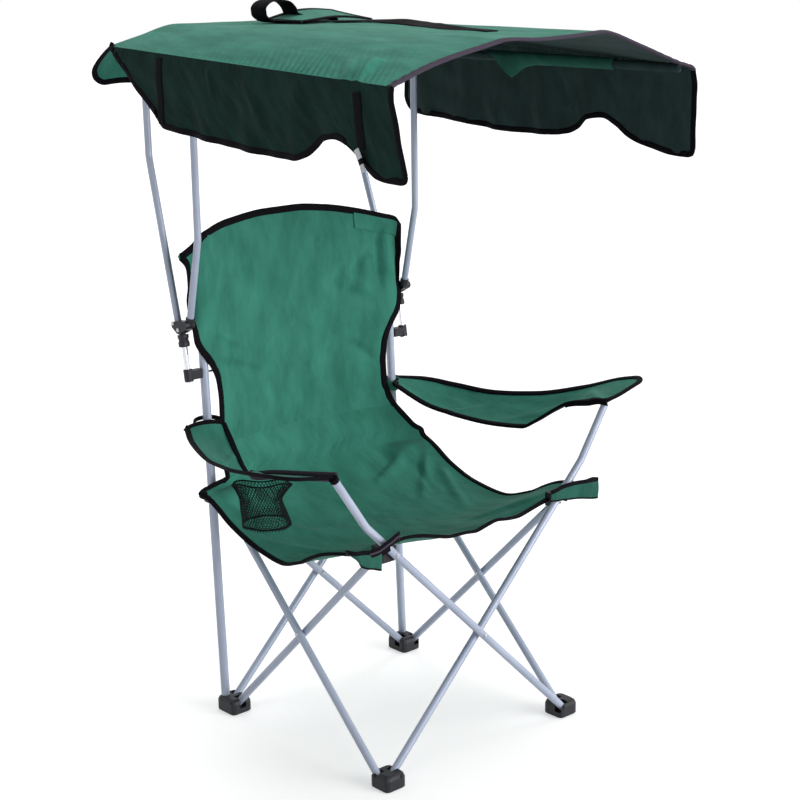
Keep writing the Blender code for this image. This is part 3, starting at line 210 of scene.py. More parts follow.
# %% Moulded nylon
GRAIN_SCALE = 900.0         # noise cells of 1.1 mm, coarser than the real 0.3 mm grain
nylon, shader = start_material("black_moulded_nylon", Specular_IOR_Level=0.32)
where = add(nylon, "TexCoord")
grain = add(nylon, "TexNoise", {"Vector": where.outputs["Object"], "Scale": GRAIN_SCALE, "Detail": 3.0})
scuff = add(nylon, "TexNoise", {"Vector": where.outputs["Object"], "Scale": 60.0, "Detail": 5.0})
nylon_gloss = add(nylon, "MapRange", {"Value": scuff.outputs["Fac"], "To Min": 0.36, "To Max": 0.58})
nylon_colour = add(nylon, "ValToRGB", {"Fac": scuff.outputs["Fac"]})
nylon_colour.color_ramp.elements[0].color = linear("#131318")
nylon_colour.color_ramp.elements[1].color = linear("#25262D")
nylon_bump = add(nylon, "Bump", {"Height": grain.outputs["Fac"], "Strength": 0.15, "Distance": 0.0003})
plug(nylon, nylon_colour.outputs["Color"], shader, "Base Color")
plug(nylon, nylon_gloss.outputs["Result"], shader, "Roughness")
plug(nylon, nylon_bump.outputs["Normal"], shader, "Normal")
print(nylon.name, "has grain cells of", round(1000 / GRAIN_SCALE, 1), "mm")

# %% [markdown]
# ## Plated metals
# The two stubs under the canopy are chromed and mirror the white studio, with faint wipe
# marks. Rivets and bolts are zinc plated, a duller grey that is mottled by the plating's
# crystals. A metal's colour is the colour of its reflections, so both are fully metallic, and
# only their roughness varies.

# %% Plated metals
chrome, shader = start_material("chromed_steel", Metallic=1.0)
shader.inputs["Base Color"].default_value = linear("#D6D9DF")
where = add(chrome, "TexCoord")
wipe = add(chrome, "TexNoise", {"Vector": where.outputs["Object"], "Scale": 90.0, "Detail": 4.0})
chrome_gloss = add(chrome, "MapRange", {"Value": wipe.outputs["Fac"], "To Min": 0.08, "To Max": 0.22})
plug(chrome, chrome_gloss.outputs["Result"], shader, "Roughness")

zinc, shader = start_material("zinc_plated_steel", Metallic=1.0)
where = add(zinc, "TexCoord")
spangle = add(zinc, "TexNoise", {"Vector": where.outputs["Object"], "Scale": 260.0, "Detail": 3.0})
zinc_colour = add(zinc, "ValToRGB", {"Fac": spangle.outputs["Fac"]})
zinc_colour.color_ramp.elements[0].color = linear("#9A9DA2")
zinc_colour.color_ramp.elements[1].color = linear("#C4C7CC")
zinc_gloss = add(zinc, "MapRange", {"Value": spangle.outputs["Fac"], "To Min": 0.26, "To Max": 0.42})
plug(zinc, zinc_colour.outputs["Color"], shader, "Base Color")
plug(zinc, zinc_gloss.outputs["Result"], shader, "Roughness")
print("plated:", chrome.name, zinc.name)

# %% [markdown]
# ## Pale nylon
# The small sliders on the roof's strap are the same nylon as the joints, left in a pale grey.
# Faint flow marks from the mould keep it from looking like plain paint.

# %% Pale nylon for the strap sliders
pale_nylon, shader = start_material("pale_moulded_nylon", Roughness=0.45)
where = add(pale_nylon, "TexCoord")
flow = add(pale_nylon, "TexNoise", {"Vector": where.outputs["Object"], "Scale": 300.0, "Detail": 3.0})
pale_colour = add(pale_nylon, "ValToRGB", {"Fac": flow.outputs["Fac"]})
pale_colour.color_ramp.elements[0].color = linear("#BFC2C9")
pale_colour.color_ramp.elements[1].color = linear("#D3D6DB")
plug(pale_nylon, pale_colour.outputs["Color"], shader, "Base Color")
print("frame finishes:", [m.name for m in (powder_coat, nylon, chrome, zinc, pale_nylon)])

# %% [markdown]
# ## Cloths
# The sling and the roof are polyester oxford: a plain basket weave with a waterproof coat on
# its back. Its threads are about 0.5 mm apart, which is a quarter of a pixel at this distance,
# so the weave is drawn 1.6 mm coarse. It is matt, with a faint sheen, and its colour drifts a
# little in long streaks, partly the cloth's own uneven tone and partly painted shade of its soft
# folds. The valances are the same cloth seen in shade. The roof's underside, the valances' inner
# faces and the rod wraps are a darker copy with the shade under the roof painted in, and the rod
# sleeves and corner wraps are another darker copy with their shade painted in.


# %% Oxford cloth
THREAD = 0.0016             # drawn coarser than the real 0.5 mm threads


def oxford_cloth(name, dark, light, sheen, shine=0.22):
    """Woven polyester: two colours that drift in streaks, partly tone and partly painted shade of folds, a
    basket weave and soft crumples.
    """
    cloth, shader = start_material(name, Roughness=0.82, Sheen_Weight=sheen, Sheen_Roughness=0.45,
                                   Specular_IOR_Level=shine)
    where = add(cloth, "TexCoord")
    turns = {"Scale": 0.5 / THREAD, "Distortion": 0.15}
    warp = add(cloth, "TexWave", {"Vector": where.outputs["UV"], **turns}, bands_direction="X")
    weft = add(cloth, "TexWave", {"Vector": where.outputs["UV"], **turns}, bands_direction="Y")
    threads = add(cloth, "Math", {0: warp.outputs["Fac"], 1: weft.outputs["Fac"]}, operation="MULTIPLY")
    # The colour drift is stretched into long streaks: partly random tone, partly painted shade of soft folds.
    tone_and_shade_streaks = add(cloth, "Mapping", {"Vector": where.outputs["UV"], "Scale": (1.0, 0.45, 1.0)})
    drift = add(cloth, "TexNoise", {"Vector": tone_and_shade_streaks.outputs["Vector"], "Scale": 20.0, "Detail": 6.0,
                                    "Roughness": 0.6})
    shade = add(cloth, "Math", {0: threads.outputs[0], 1: 0.22, 2: drift.outputs["Fac"]},
                operation="MULTIPLY_ADD")
    colour = add(cloth, "ValToRGB", {"Fac": shade.outputs[0]})
    colour.color_ramp.elements[0].position = 0.36
    colour.color_ramp.elements[0].color = linear(dark)
    colour.color_ramp.elements[1].position = 0.78
    colour.color_ramp.elements[1].color = linear(light)
    stretch = add(cloth, "Mapping", {"Vector": where.outputs["UV"], "Scale": (1.0, 0.42, 1.0)})
    crumple = add(cloth, "TexNoise", {"Vector": stretch.outputs["Vector"], "Scale": 26.0, "Detail": 3.0})
    soft = add(cloth, "Bump", {"Height": crumple.outputs["Fac"], "Strength": 0.55, "Distance": 0.006})
    weave = add(cloth, "Bump", {"Height": threads.outputs[0], "Strength": 0.35, "Distance": 0.0003,
                                "Normal": soft.outputs["Normal"]})
    plug(cloth, colour.outputs["Color"], shader, "Base Color")
    plug(cloth, weave.outputs["Normal"], shader, "Normal")
    return cloth


green_oxford = oxford_cloth("green_polyester_oxford", "#286D5C", "#3F8D7A", 0.06)
shade_oxford = oxford_cloth("shaded_green_oxford", "#142521", "#213D38", 0.01, 0.07)
# A darker copy of the green cloth for the roof's underside, the valances' inner faces, the rod wraps and the
# sleeve linings: painted shade under the roof.
under_roof_painted_shade = oxford_cloth("cloth_under_roof_painted_shade", "#1B2E2D", "#2C4442", 0.02)
# A darker copy of the green cloth for the rod sleeves and the seat's corner wraps, with their shade painted
# in.
sleeve_wrap_painted_shade = oxford_cloth("sleeve_and_wrap_oxford_painted_shade", "#1F5046", "#2E6858", 0.02, 0.15)

print("cloths:", [m.name for m in (green_oxford, shade_oxford, under_roof_painted_shade, sleeve_wrap_painted_shade)])

# %% [markdown]
# ## Tape, webbing and net
# Edges are bound with a woven polypropylene tape, black and nearly without gloss, and the
# roof's front edge in a grey one. The straps are a coarser webbing, and the net is polyester
# yarn. All four are ribbed across, so one recipe serves them, with the rib's spacing in metres.

# %% Tape, webbing and net
def ribbed_tape(name, dark, light, rib):
    """A narrow woven tape whose ribs run across it."""
    tape, shader = start_material(name, Roughness=0.75, Specular_IOR_Level=0.06)
    where = add(tape, "TexCoord")
    ribs = add(tape, "TexWave", {"Vector": where.outputs["UV"], "Scale": 0.5 / rib, "Distortion": 0.4})
    colour = add(tape, "ValToRGB", {"Fac": ribs.outputs["Fac"]})
    colour.color_ramp.elements[0].color = linear(dark)
    colour.color_ramp.elements[1].color = linear(light)
    bump = add(tape, "Bump", {"Height": ribs.outputs["Fac"], "Strength": 0.3, "Distance": 0.0004})
    plug(tape, colour.outputs["Color"], shader, "Base Color")
    plug(tape, bump.outputs["Normal"], shader, "Normal")
    return tape


binding = ribbed_tape("black_binding_tape", "#060508", "#100E14", 0.0018)
front_binding = ribbed_tape("grey_binding_tape", "#3C3742", "#544C5A", 0.0018)
webbing = ribbed_tape("black_polypropylene_webbing", "#070609", "#121116", 0.0024)
net_yarn = ribbed_tape("black_polyester_net", "#0D1211", "#202825", 0.0012)
print("tapes:", [m.name for m in (binding, front_binding, webbing, net_yarn)])

# %% [markdown]
# ## Tools for tubes and sheets
# A tube is a circle swept along a path whose corners are rounded, as a tube bender leaves
# them. A sheet is a grid of points that a small function places, thickened to a closed skin. A
# binding tape is a flat oval swept along the sheet's own edge, so it follows every wave.


# %% Sweeping
def add_object(name, points, faces, uv, materials, smooth_angle=50):
    mesh = bpy.data.meshes.new(name)
    mesh.from_pydata([tuple(p) for p in points], [], [tuple(int(i) for i in f) for f in faces])
    for material in materials:
        mesh.materials.append(material)
    layer = mesh.uv_layers.new(name="metres")
    corners = np.zeros(len(mesh.loops), int)
    mesh.loops.foreach_get("vertex_index", corners)
    layer.data.foreach_set("uv", np.asarray(uv, float)[corners].ravel())
    mesh.polygons.foreach_set("use_smooth", [True] * len(mesh.polygons))
    mesh.set_sharp_from_angle(angle=math.radians(smooth_angle))
    made = bpy.data.objects.new(name, mesh)
    bpy.context.scene.collection.objects.link(made)
    return made


def unit(vectors):
    return vectors / np.maximum(np.linalg.norm(vectors, axis=-1, keepdims=True), 1e-12)


def rounded(points, radius, steps=10):
    """A path with an arc of this radius at each inner corner."""
    points = [np.array(p, float) for p in points]
    path = [points[0]]
    for before, corner, after in zip(points, points[1:], points[2:]):
        a, b = unit(before - corner), unit(after - corner)
        half = math.acos(np.clip(a @ b, -1, 1)) / 2
        centre = corner + unit(a + b) * radius / math.sin(half)
        first, last = corner + a * radius / math.tan(half), corner + b * radius / math.tan(half)
        sweep = math.pi - 2 * half
        for k in range(steps + 1):
            near, far = math.sin(sweep * (1 - k / steps)), math.sin(sweep * k / steps)
            path.append(centre + ((first - centre) * near + (last - centre) * far) / math.sin(sweep))
    return np.array([*path, points[-1]])


def sweep_rings(path, outline, sideways=None, closed=False):
    """Points of an outline carried along a path without twist: (rings, outline points, 3)."""
    path, outline = np.asarray(path, float), np.asarray(outline, float)
    if closed:
        along = unit(np.roll(path, -1, 0) - np.roll(path, 1, 0))
    else:
        along = unit(np.gradient(path, axis=0))
    if sideways is None:
        side = np.cross(along[0], (0.31, 0.87, 0.4))
        sides = []
        for step in along:
            side = unit(side - step * (side @ step))
            sides.append(side)
        sideways = np.array(sides)
    sideways = unit(sideways - along * (sideways * along).sum(-1, keepdims=True))
    upward = np.cross(along, sideways)
    return (path[:, None] + outline[None, :, :1] * sideways[:, None]
            + outline[None, :, 1:] * upward[:, None])


def skin(name, rings, materials, closed=False, smooth_angle=50):
    """A closed skin over rings of points, with its UV in metres along and around."""
    count, around = rings.shape[:2]
    index = np.arange(count * around).reshape(count, around)
    turns = range(count if closed else count - 1)
    faces = [(index[i, j], index[i, (j + 1) % around], index[(i + 1) % count, (j + 1) % around],
              index[(i + 1) % count, j]) for i in turns for j in range(around)]
    if not closed:
        faces += [tuple(index[0][::-1]), tuple(index[-1])]
    steps = np.linalg.norm(np.diff(rings.mean(1), axis=0), axis=1)
    along = np.concatenate([[0], np.cumsum(steps)])
    girth = np.linalg.norm(rings[0] - np.roll(rings[0], 1, 0), axis=1).cumsum()
    uv = np.stack(np.broadcast_arrays(along[:, None], girth[None, :]), -1).reshape(-1, 2)
    return add_object(name, rings.reshape(-1, 3), faces, uv, materials, smooth_angle)


def circle(radius, sides=28):
    angles = np.arange(sides) * 2 * np.pi / sides
    return np.stack([np.cos(angles), np.sin(angles)], 1) * radius


def flat_oval(width, thick, sides=12):
    """The outline of a tape: nearly a rectangle, with soft edges."""
    angles = (np.arange(sides) + 0.5) * 2 * np.pi / sides
    shape = np.stack([np.cos(angles), np.sin(angles)], 1)
    return np.sign(shape) * np.abs(shape) ** 0.55 * (width / 2, thick / 2)


# %% Sheets and their bindings
def smooth_table(rows, at):
    """Read a table of (place, value, ...) rows at any places, on curves that never overshoot."""
    table = np.array(rows, float)
    x, y = table[:, 0], table[:, 1:]
    steps = np.diff(x)[:, None]
    slopes = np.diff(y, axis=0) / steps
    before, after = slopes[:-1], slopes[1:]
    total = np.where(before + after == 0, 1, before + after)
    shared = np.where(before * after > 0, 2 * before * after / total, 0)
    tangents = np.concatenate([slopes[:1], shared, slopes[-1:]])
    at = np.clip(np.asarray(at, float), x[0], x[-1])
    i = np.clip(np.searchsorted(x, at, "right") - 1, 0, len(x) - 2)
    h = steps[i][..., 0][..., None]
    t = (at - x[i])[..., None] / h
    value = (y[i] * (1 + 2 * t) * (1 - t) ** 2 + y[i + 1] * t * t * (3 - 2 * t)
             + tangents[i] * h * t * (1 - t) ** 2 - tangents[i + 1] * h * t * t * (1 - t))
    return value[..., 0] if value.shape[-1] == 1 else value


def crease(a, b, start, end, width, height):
    """A fold on a sheet from start to end, which fades at both ends."""
    along = np.subtract(end, start)
    s = ((a - start[0]) * along[0] + (b - start[1]) * along[1]) / (along @ along)
    on = np.clip(s, 0, 1)
    away = (a - start[0] - on * along[0]) ** 2 + (b - start[1] - on * along[1]) ** 2
    return height * np.exp(-away / width ** 2) * np.sqrt(np.sin(np.pi * np.clip(s, 0.01, 0.99)))


def uneven(a, b, size, seed):
    """Gentle random waves, about this size across."""
    draw = np.random.default_rng(seed)
    total = 0
    for _ in range(7):
        heading, phase = draw.uniform(0, 2 * np.pi, 2)
        step = 2 * np.pi / (size * draw.uniform(0.7, 1.7))
        total = total + np.sin((a * np.cos(heading) + b * np.sin(heading)) * step + phase)
    return total / 7


def sew(name, place, across, along, face, lining, thick=0.0012):
    """A closed thin sheet from place(u, v), with its UV in metres."""
    u, v = np.meshgrid(np.linspace(0, 1, across), np.linspace(0, 1, along))
    middle = place(u, v)
    normal = unit(np.cross(np.gradient(middle, axis=1), np.gradient(middle, axis=0)))
    points = np.concatenate([(middle + s * normal * thick / 2).reshape(-1, 3) for s in (1, -1)])
    count = across * along
    index = np.arange(count).reshape(along, across)
    quads = np.stack([index[:-1, :-1], index[:-1, 1:], index[1:, 1:], index[1:, :-1]], -1)
    quads = quads.reshape(-1, 4)
    loop = np.concatenate([index[0, :-1], index[:-1, -1], index[-1, :0:-1], index[:0:-1, 0]])
    after = np.roll(loop, -1)
    rim = np.stack([after, loop, loop + count, after + count], 1)
    faces = np.concatenate([quads, quads[:, ::-1] + count, rim])
    wide = np.cumsum(np.linalg.norm(np.diff(middle, axis=1, prepend=middle[:, :1]), axis=-1), axis=1)
    long = np.cumsum(np.linalg.norm(np.diff(middle, axis=0, prepend=middle[:1]), axis=-1), axis=0)
    uv = np.stack([wide - wide[:, -1:] / 2, long], -1).reshape(-1, 2)
    made = add_object(name, points, faces, np.concatenate([uv, uv]), [face, lining], 60)
    sides = np.zeros(len(faces), int)
    sides[len(quads):] = 1
    made.data.polygons.foreach_set("material_index", sides)
    corner = middle[:-1, :-1]
    area = np.linalg.norm(np.cross(middle[1:, :-1] - corner, middle[:-1, 1:] - corner), axis=-1).sum()
    print(f"{name}: {wide[:, -1].max():.3f} x {long[-1].max():.3f} m, {area:.3f} m2")
    return made


def round_corners(place, across, along, corners=((0, 0), (1, 0), (0, 1), (1, 1))):
    """The same sheet with these corners cut round, over a share of its width and length."""
    def rounded_place(u, v):
        for cu, cv in corners:
            a, b = np.abs(u - cu) / across, np.abs(v - cv) / along
            near = (a < 1) & (b < 1)
            a, b = np.minimum(a, 1), np.minimum(b, 1)
            du, dv = 0.293 * (1 - a) * (1 - b) ** 2, 0.293 * (1 - b) * (1 - a) ** 2
            u = np.where(near, u + (1 - 2 * cu) * du * across, u)
            v = np.where(near, v + (1 - 2 * cv) * dv * along, v)
        return place(u, v)
    return rounded_place


def edge(*corners, step=90):
    """Places (u, v) along straight lines between corners of the sheet's square."""
    parts = []
    for (u0, v0), (u1, v1) in zip(corners, corners[1:]):
        t = np.linspace(0, 1, step)[:-1]
        parts.append(np.stack([u0 + (u1 - u0) * t, v0 + (v1 - v0) * t], 1))
    return np.concatenate([*parts, [corners[-1]]])


def bind(name, place, route, material=None, width=0.0125, thick=0.0042, closed=False):
    """Tape folded over a sheet's edge along a route of (u, v) places."""
    route = route[:-1] if closed else route
    at = place(route[:, 0], route[:, 1])
    inner = route + (0.5 - route) * 0.03
    inward = place(inner[:, 0], inner[:, 1]) - at
    along = np.gradient(at, axis=0) if not closed else np.roll(at, -1, 0) - np.roll(at, 1, 0)
    inward = unit(inward - unit(along) * (inward * unit(along)).sum(-1, keepdims=True))
    rings = sweep_rings(at + inward * (width / 2 - 0.0016), flat_oval(width, thick), inward, closed)
    return skin(name, rings, [material or binding], closed, 70)


print("a tape's outline has", len(flat_oval(1, 1)), "points")
print("a 90 degree bend of 50 mm has", len(rounded([(0, 0, 0), (0, 0, 1), (0, 1, 1)], 0.05)), "points")

# %% [markdown]
# ## Frame tubes
# Eight bars of 16 mm tube cross in four pairs. The front pair runs on above the seat and bends
# up to carry the armrests. Two 19 mm posts stand in the rear feet. Four 15 mm rods carry the
# roof: each bends once above its swivel head and once under the cloth. A tube is drawn as a
# smooth sweep with 28 sides, because its highlight shows any flat.

# %% Frame tubes
SIDES = (("right", -1), ("left", 1))            # the sitter's sides, and their signs along x
BAR_RADIUS, POST_RADIUS, ROD_RADIUS = 0.008, 0.0095, 0.0075
TUBE_BEND = 0.05
POST_X, POST_LEAN = 0.264, 0.0396               # each post leans back by this share of its height
ROD_X, ROD_TURN_Y, ROD_TURN_Z = 0.302, 0.252, 1.405     # where a front rod turns in under the roof
inner_pin, outer_in, outer_out = 0.238, 0.2515, 0.2685      # pin places from the middle
foot_pin, seat_pin, bar_end = 0.026, 0.492, 0.008


def straight_bar(low, high):
    low, high = np.array(low), np.array(high)
    along = unit(high - low)
    return [low - along * bar_end, high + along * bar_end]


def arm_bar(side, y):
    """From the front foot up past the seat on this side, then bent up under the armrest."""
    low, high = np.array((-side * inner_pin, y, foot_pin)), np.array((side * inner_pin, y, seat_pin))
    return rounded([low - unit(high - low) * bar_end, (side * 0.3122, y, 0.5647),
                    (side * 0.385, y, 0.672)], TUBE_BEND)


bars = {
    "front_bar_left_arm": arm_bar(1, -outer_in),
    "front_bar_right_arm": arm_bar(-1, -outer_out),
    "back_bar_outer": straight_bar((-inner_pin, outer_out, foot_pin), (inner_pin, outer_out, seat_pin)),
    "back_bar_inner": straight_bar((inner_pin, outer_in, foot_pin), (-inner_pin, outer_in, seat_pin)),
}
for node, x, rise in (("side_bar_right_front", -outer_out, 1), ("side_bar_right_rear", -outer_in, -1),
                      ("side_bar_left_front", outer_in, 1), ("side_bar_left_rear", outer_out, -1)):
    bars[node] = straight_bar((x, -rise * inner_pin, foot_pin), (x, rise * inner_pin, seat_pin))


def front_rod(s, tip):
    return rounded([(s * ROD_X, 0.2935, 0.872), (s * ROD_X, ROD_TURN_Y, 1.057),
                    (s * ROD_X, ROD_TURN_Y, ROD_TURN_Z), tip], TUBE_BEND)


def rear_rod(s, tip):
    return rounded([(s * ROD_X, 0.333, 0.864), (s * 0.286, 0.437, 1.21), (s * 0.283, 0.444, 1.385),
                    tip], TUBE_BEND)


posts = {f"back_post_{name}": [(s * POST_X, 0.2724, 0.0105), (s * POST_X, 0.3113, 0.992)]
         for name, s in SIDES}
bodies = frame["record"]["behaviour"]["bodies"]
body_of_node = {node: body for body, held in bodies.items() for node in held}


def make_tube(node, path, radius):
    tube = skin(node + "_tube", sweep_rings(path, circle(radius)), [powder_coat])
    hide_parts(node)
    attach(tube, body_of_node[node])
    return tube


for node, path in bars.items():
    make_tube(node, path, BAR_RADIUS)
for node, path in posts.items():
    make_tube(node, path, POST_RADIUS)
for name, s in SIDES:
    front_tip = (s * 0.383, -0.435, 1.4018 if s < 0 else 1.393)
    rear_tip = (s * 0.355, 0.378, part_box(f"rear_rod_{name}")[1].z - ROD_RADIUS)
    make_tube(f"front_rod_{name}", front_rod(s, front_tip), ROD_RADIUS)
    make_tube(f"rear_rod_{name}", rear_rod(s, rear_tip), ROD_RADIUS)
print("tubes:", len(bars) + len(posts) + 4)

# %% [markdown]
# ## Moulded joints and fasteners
# Feet, collars, brackets, clamps and swivel heads keep their measured shapes. A moulding has
# no sharp edge, because the tool is rounded there and the light catches it, so each one gets a
# small bevel that leaves its measured points alone.

# %% Moulded joints and fasteners
finish_of_slot = {"plastic": nylon, "plated": chrome, "steel": zinc, "paint": powder_coat}
finished = []
for name, node in nodes.items():
    kind = node.data.materials[0].name if node.data.materials else ""
    if node.hide_render or kind not in finish_of_slot:
        continue
    node.data.materials.clear()
    node.data.materials.append(finish_of_slot[kind])
    weld = node.modifiers.new("weld", "WELD")
    weld.merge_threshold = 0.00002
    soften = node.modifiers.new("moulded_edge", "BEVEL")
    soften.width = 0.0007 if kind == "plastic" else 0.0003
    soften.segments = 2
    soften.limit_method = "ANGLE"
    soften.angle_limit = math.radians(35)
    soften.harden_normals = True
    finished.append(name)
print("measured pieces with a finish:", len(finished))

# %% [markdown]
# ## Sling
# One panel of cloth runs from the top of the posts down to the front edge. Its back hangs
# between the two posts. Behind it a sleeve, closed at the top, is pulled over each post, and
# the end of the left one is turned in and stitched down on the front. The seat hangs between
# four corners and sags to its lowest in the middle. The panel is drawn in three lengths that
# meet edge to edge, because the back stays with the posts and the seat droops as the frame
# folds. A cloth simulation could hang it, but its folds would fall elsewhere than on the real
# chair, so each fold is a short crease between two places.

# %% Back of the sling
WAIST, BACK_HALF, EAR_Z = 0.6, 0.301, 1.018     # foot of the back, top half width, its corners
back_sides = ((0.600, 0.262), (0.630, 0.246), (0.660, 0.238), (0.700, 0.237), (0.740, 0.241),
              (0.768, 0.250), (0.790, 0.264), (0.812, 0.281), (0.835, 0.291), (0.875, 0.294),
              (0.920, 0.298), (0.960, 0.298), (1.018, 0.301))
back_top = ((-0.300, 1.020), (-0.248, 1.062), (-0.170, 1.078), (-0.068, 1.085), (0.015, 1.085),
            (0.100, 1.077), (0.173, 1.063), (0.247, 1.043), (0.284, 1.032), (0.301, 1.012))


def post_front(z):
    """How far back the cloth runs where it passes in front of a post."""
    return 0.272 + POST_LEAN * z - POST_RADIUS - 0.0026


def back_place(u, v):
    t = 2 * u - 1
    ceiling = smooth_table(back_top, t * BACK_HALF)
    z = ceiling + (WAIST - ceiling) * v
    half = smooth_table(back_sides, z)
    x = t * half
    ear = np.exp(-((z - EAR_Z) / 0.016) ** 2) * np.clip(-t * 4 - 3, 0, 1)
    x = x - 0.018 * ear
    between = np.minimum(np.abs(x) / 0.241, 1)
    deep = smooth_table(((0.60, 0.034), (0.75, 0.031), (0.90, 0.030), (1.08, 0.034)), z)
    y = post_front(z) + deep * (1 - between ** 2.2)
    y = y + 0.008 * np.clip((np.abs(x) - 0.278) / 0.012, 0, 1) * np.exp(-((z - 0.905) / 0.035) ** 4)
    sleeve = np.clip((z - 0.815) / 0.10, 0, 1) ** 1.5 * np.clip((1.03 - z) / 0.05, 0, 1)
    y = y + sleeve * ((0.011 + 0.005 * np.sign(x)) * np.exp(-((np.abs(x) - 0.2395) / 0.0105) ** 2)
                      + (0.003 + 0.003 * np.sign(x)) * np.exp(-((np.abs(x) - 0.222) / 0.018) ** 2)
                      + 0.007 * np.exp(-((np.abs(x) - 0.286) / 0.007) ** 2))
    loose = np.clip(1 - between, 0, 1) ** 0.5
    y = y + 0.0035 * uneven(x, z * 0.5, 0.11, 4) * loose + 0.0014 * uneven(x, z, 0.035, 9) * loose
    for fold in (
            ((0.10, 0.90), (0.235, 0.835), 0.016, 0.007), ((0.15, 0.91), (0.236, 0.985), 0.011, 0.006),
            ((0.15, 0.86), (0.20, 0.98), 0.014, 0.006), ((-0.235, 0.85), (-0.15, 0.80), 0.010, -0.007),
            ((-0.25, 0.78), (-0.10, 0.735), 0.012, 0.007), ((-0.20, 0.98), (-0.18, 0.84), 0.018, 0.006),
            ((-0.245, 0.82), (-0.20, 0.87), 0.007, 0.005), ((0.02, 0.80), (0.05, 0.68), 0.020, -0.005),
            ((0.15, 0.76), (0.215, 0.71), 0.012, 0.006), ((-0.08, 0.72), (-0.05, 0.62), 0.016, 0.005)):
        y = y + crease(x, z, *fold)
    return np.stack([x, y, z], -1)


back_cloth = sew("back_sling", back_place, 121, 121, green_oxford, green_oxford)

# %% [markdown]
# ## Post sleeves
# A tube of cloth behind each top corner slips over the post and carries the back. It bulges
# round the post, and it is closed at the top, where it is sewn to the panel. A tape binds the
# back's free edges from the waist up, over the top and down again.

# %% Sleeves behind the back, and its binding
def stitched_patch(u, v):
    """The end of the left sleeve, turned in and stitched down on the front."""
    return back_place(0.79 + 0.19 * u, 0.022 + 0.075 * v) - (0, 0.0024, 0)


back_patch = sew("sleeve_end_patch", stitched_patch, 25, 13, green_oxford, green_oxford)
back_sleeves = []
for name, side in SIDES:
    def place(u, v, side=side):
        z = EAR_Z - 0.164 * v + 0 * u
        x = side * (0.2425 + 0.0435 * u)
        closed = np.clip(v / 0.10, 0, 1) ** 0.5
        behind = 0.017 - 0.012 * u + 0.012 * np.sin(np.pi * u) ** 0.5
        return np.stack([x, post_front(z) + 0.003 + behind * closed, z], -1)

    back_sleeves.append(sew(f"post_sleeve_{name}", place, 25, 21, green_oxford, green_oxford))
back_binding = bind("back_binding", back_place, edge((0, 1), (0, 0), (1, 0), (1, 1), step=110),
                    width=0.0155)

# %% [markdown]
# ## Seat
# The seat is cloth hung from two collars and two brackets. Its edge and its middle are two
# curves read from the chair, and the points between them follow a steep power of the distance
# from the middle: flat where the cloth is loose, and drawn up near the edge.

# %% Seat of the sling
seat_edge = ((0.0, 0.2818, 0.600), (0.10, 0.272, 0.560), (0.20, 0.240, 0.522), (0.30, 0.200, 0.498),
             (0.40, 0.150, 0.468), (0.52, 0.070, 0.441), (0.64, -0.010, 0.431), (0.76, -0.085, 0.452),
             (0.82, -0.128, 0.475), (0.88, -0.165, 0.491), (0.94, -0.200, 0.500), (1.0, -0.232, 0.505))
seat_middle = ((0.0, 0.3177, 0.600), (0.04, 0.3158, 0.582), (0.12, 0.302, 0.546), (0.25, 0.250, 0.497),
               (0.375, 0.168, 0.458), (0.50, 0.080, 0.434), (0.625, -0.005, 0.426), (0.75, -0.090, 0.434),
               (0.875, -0.170, 0.454), (1.0, -0.2415, 0.478))
right_corner = ((0.0, 0.2818, 0.600), (0.08, 0.263, 0.560), (0.125, 0.253, 0.536), (0.165, 0.250, 0.524),
                (0.20, 0.240, 0.519), (0.30, 0.200, 0.498))
right_half = ((0.0, 0.262), (0.07, 0.250), (0.12, 0.252), (0.155, 0.292), (0.19, 0.328), (0.25, 0.324),
              (0.5, 0.321))
seat_half = ((0.0, 0.262), (0.125, 0.300), (0.25, 0.3175), (0.5, 0.321), (0.625, 0.324), (0.75, 0.334),
             (0.875, 0.336), (1.0, 0.327))


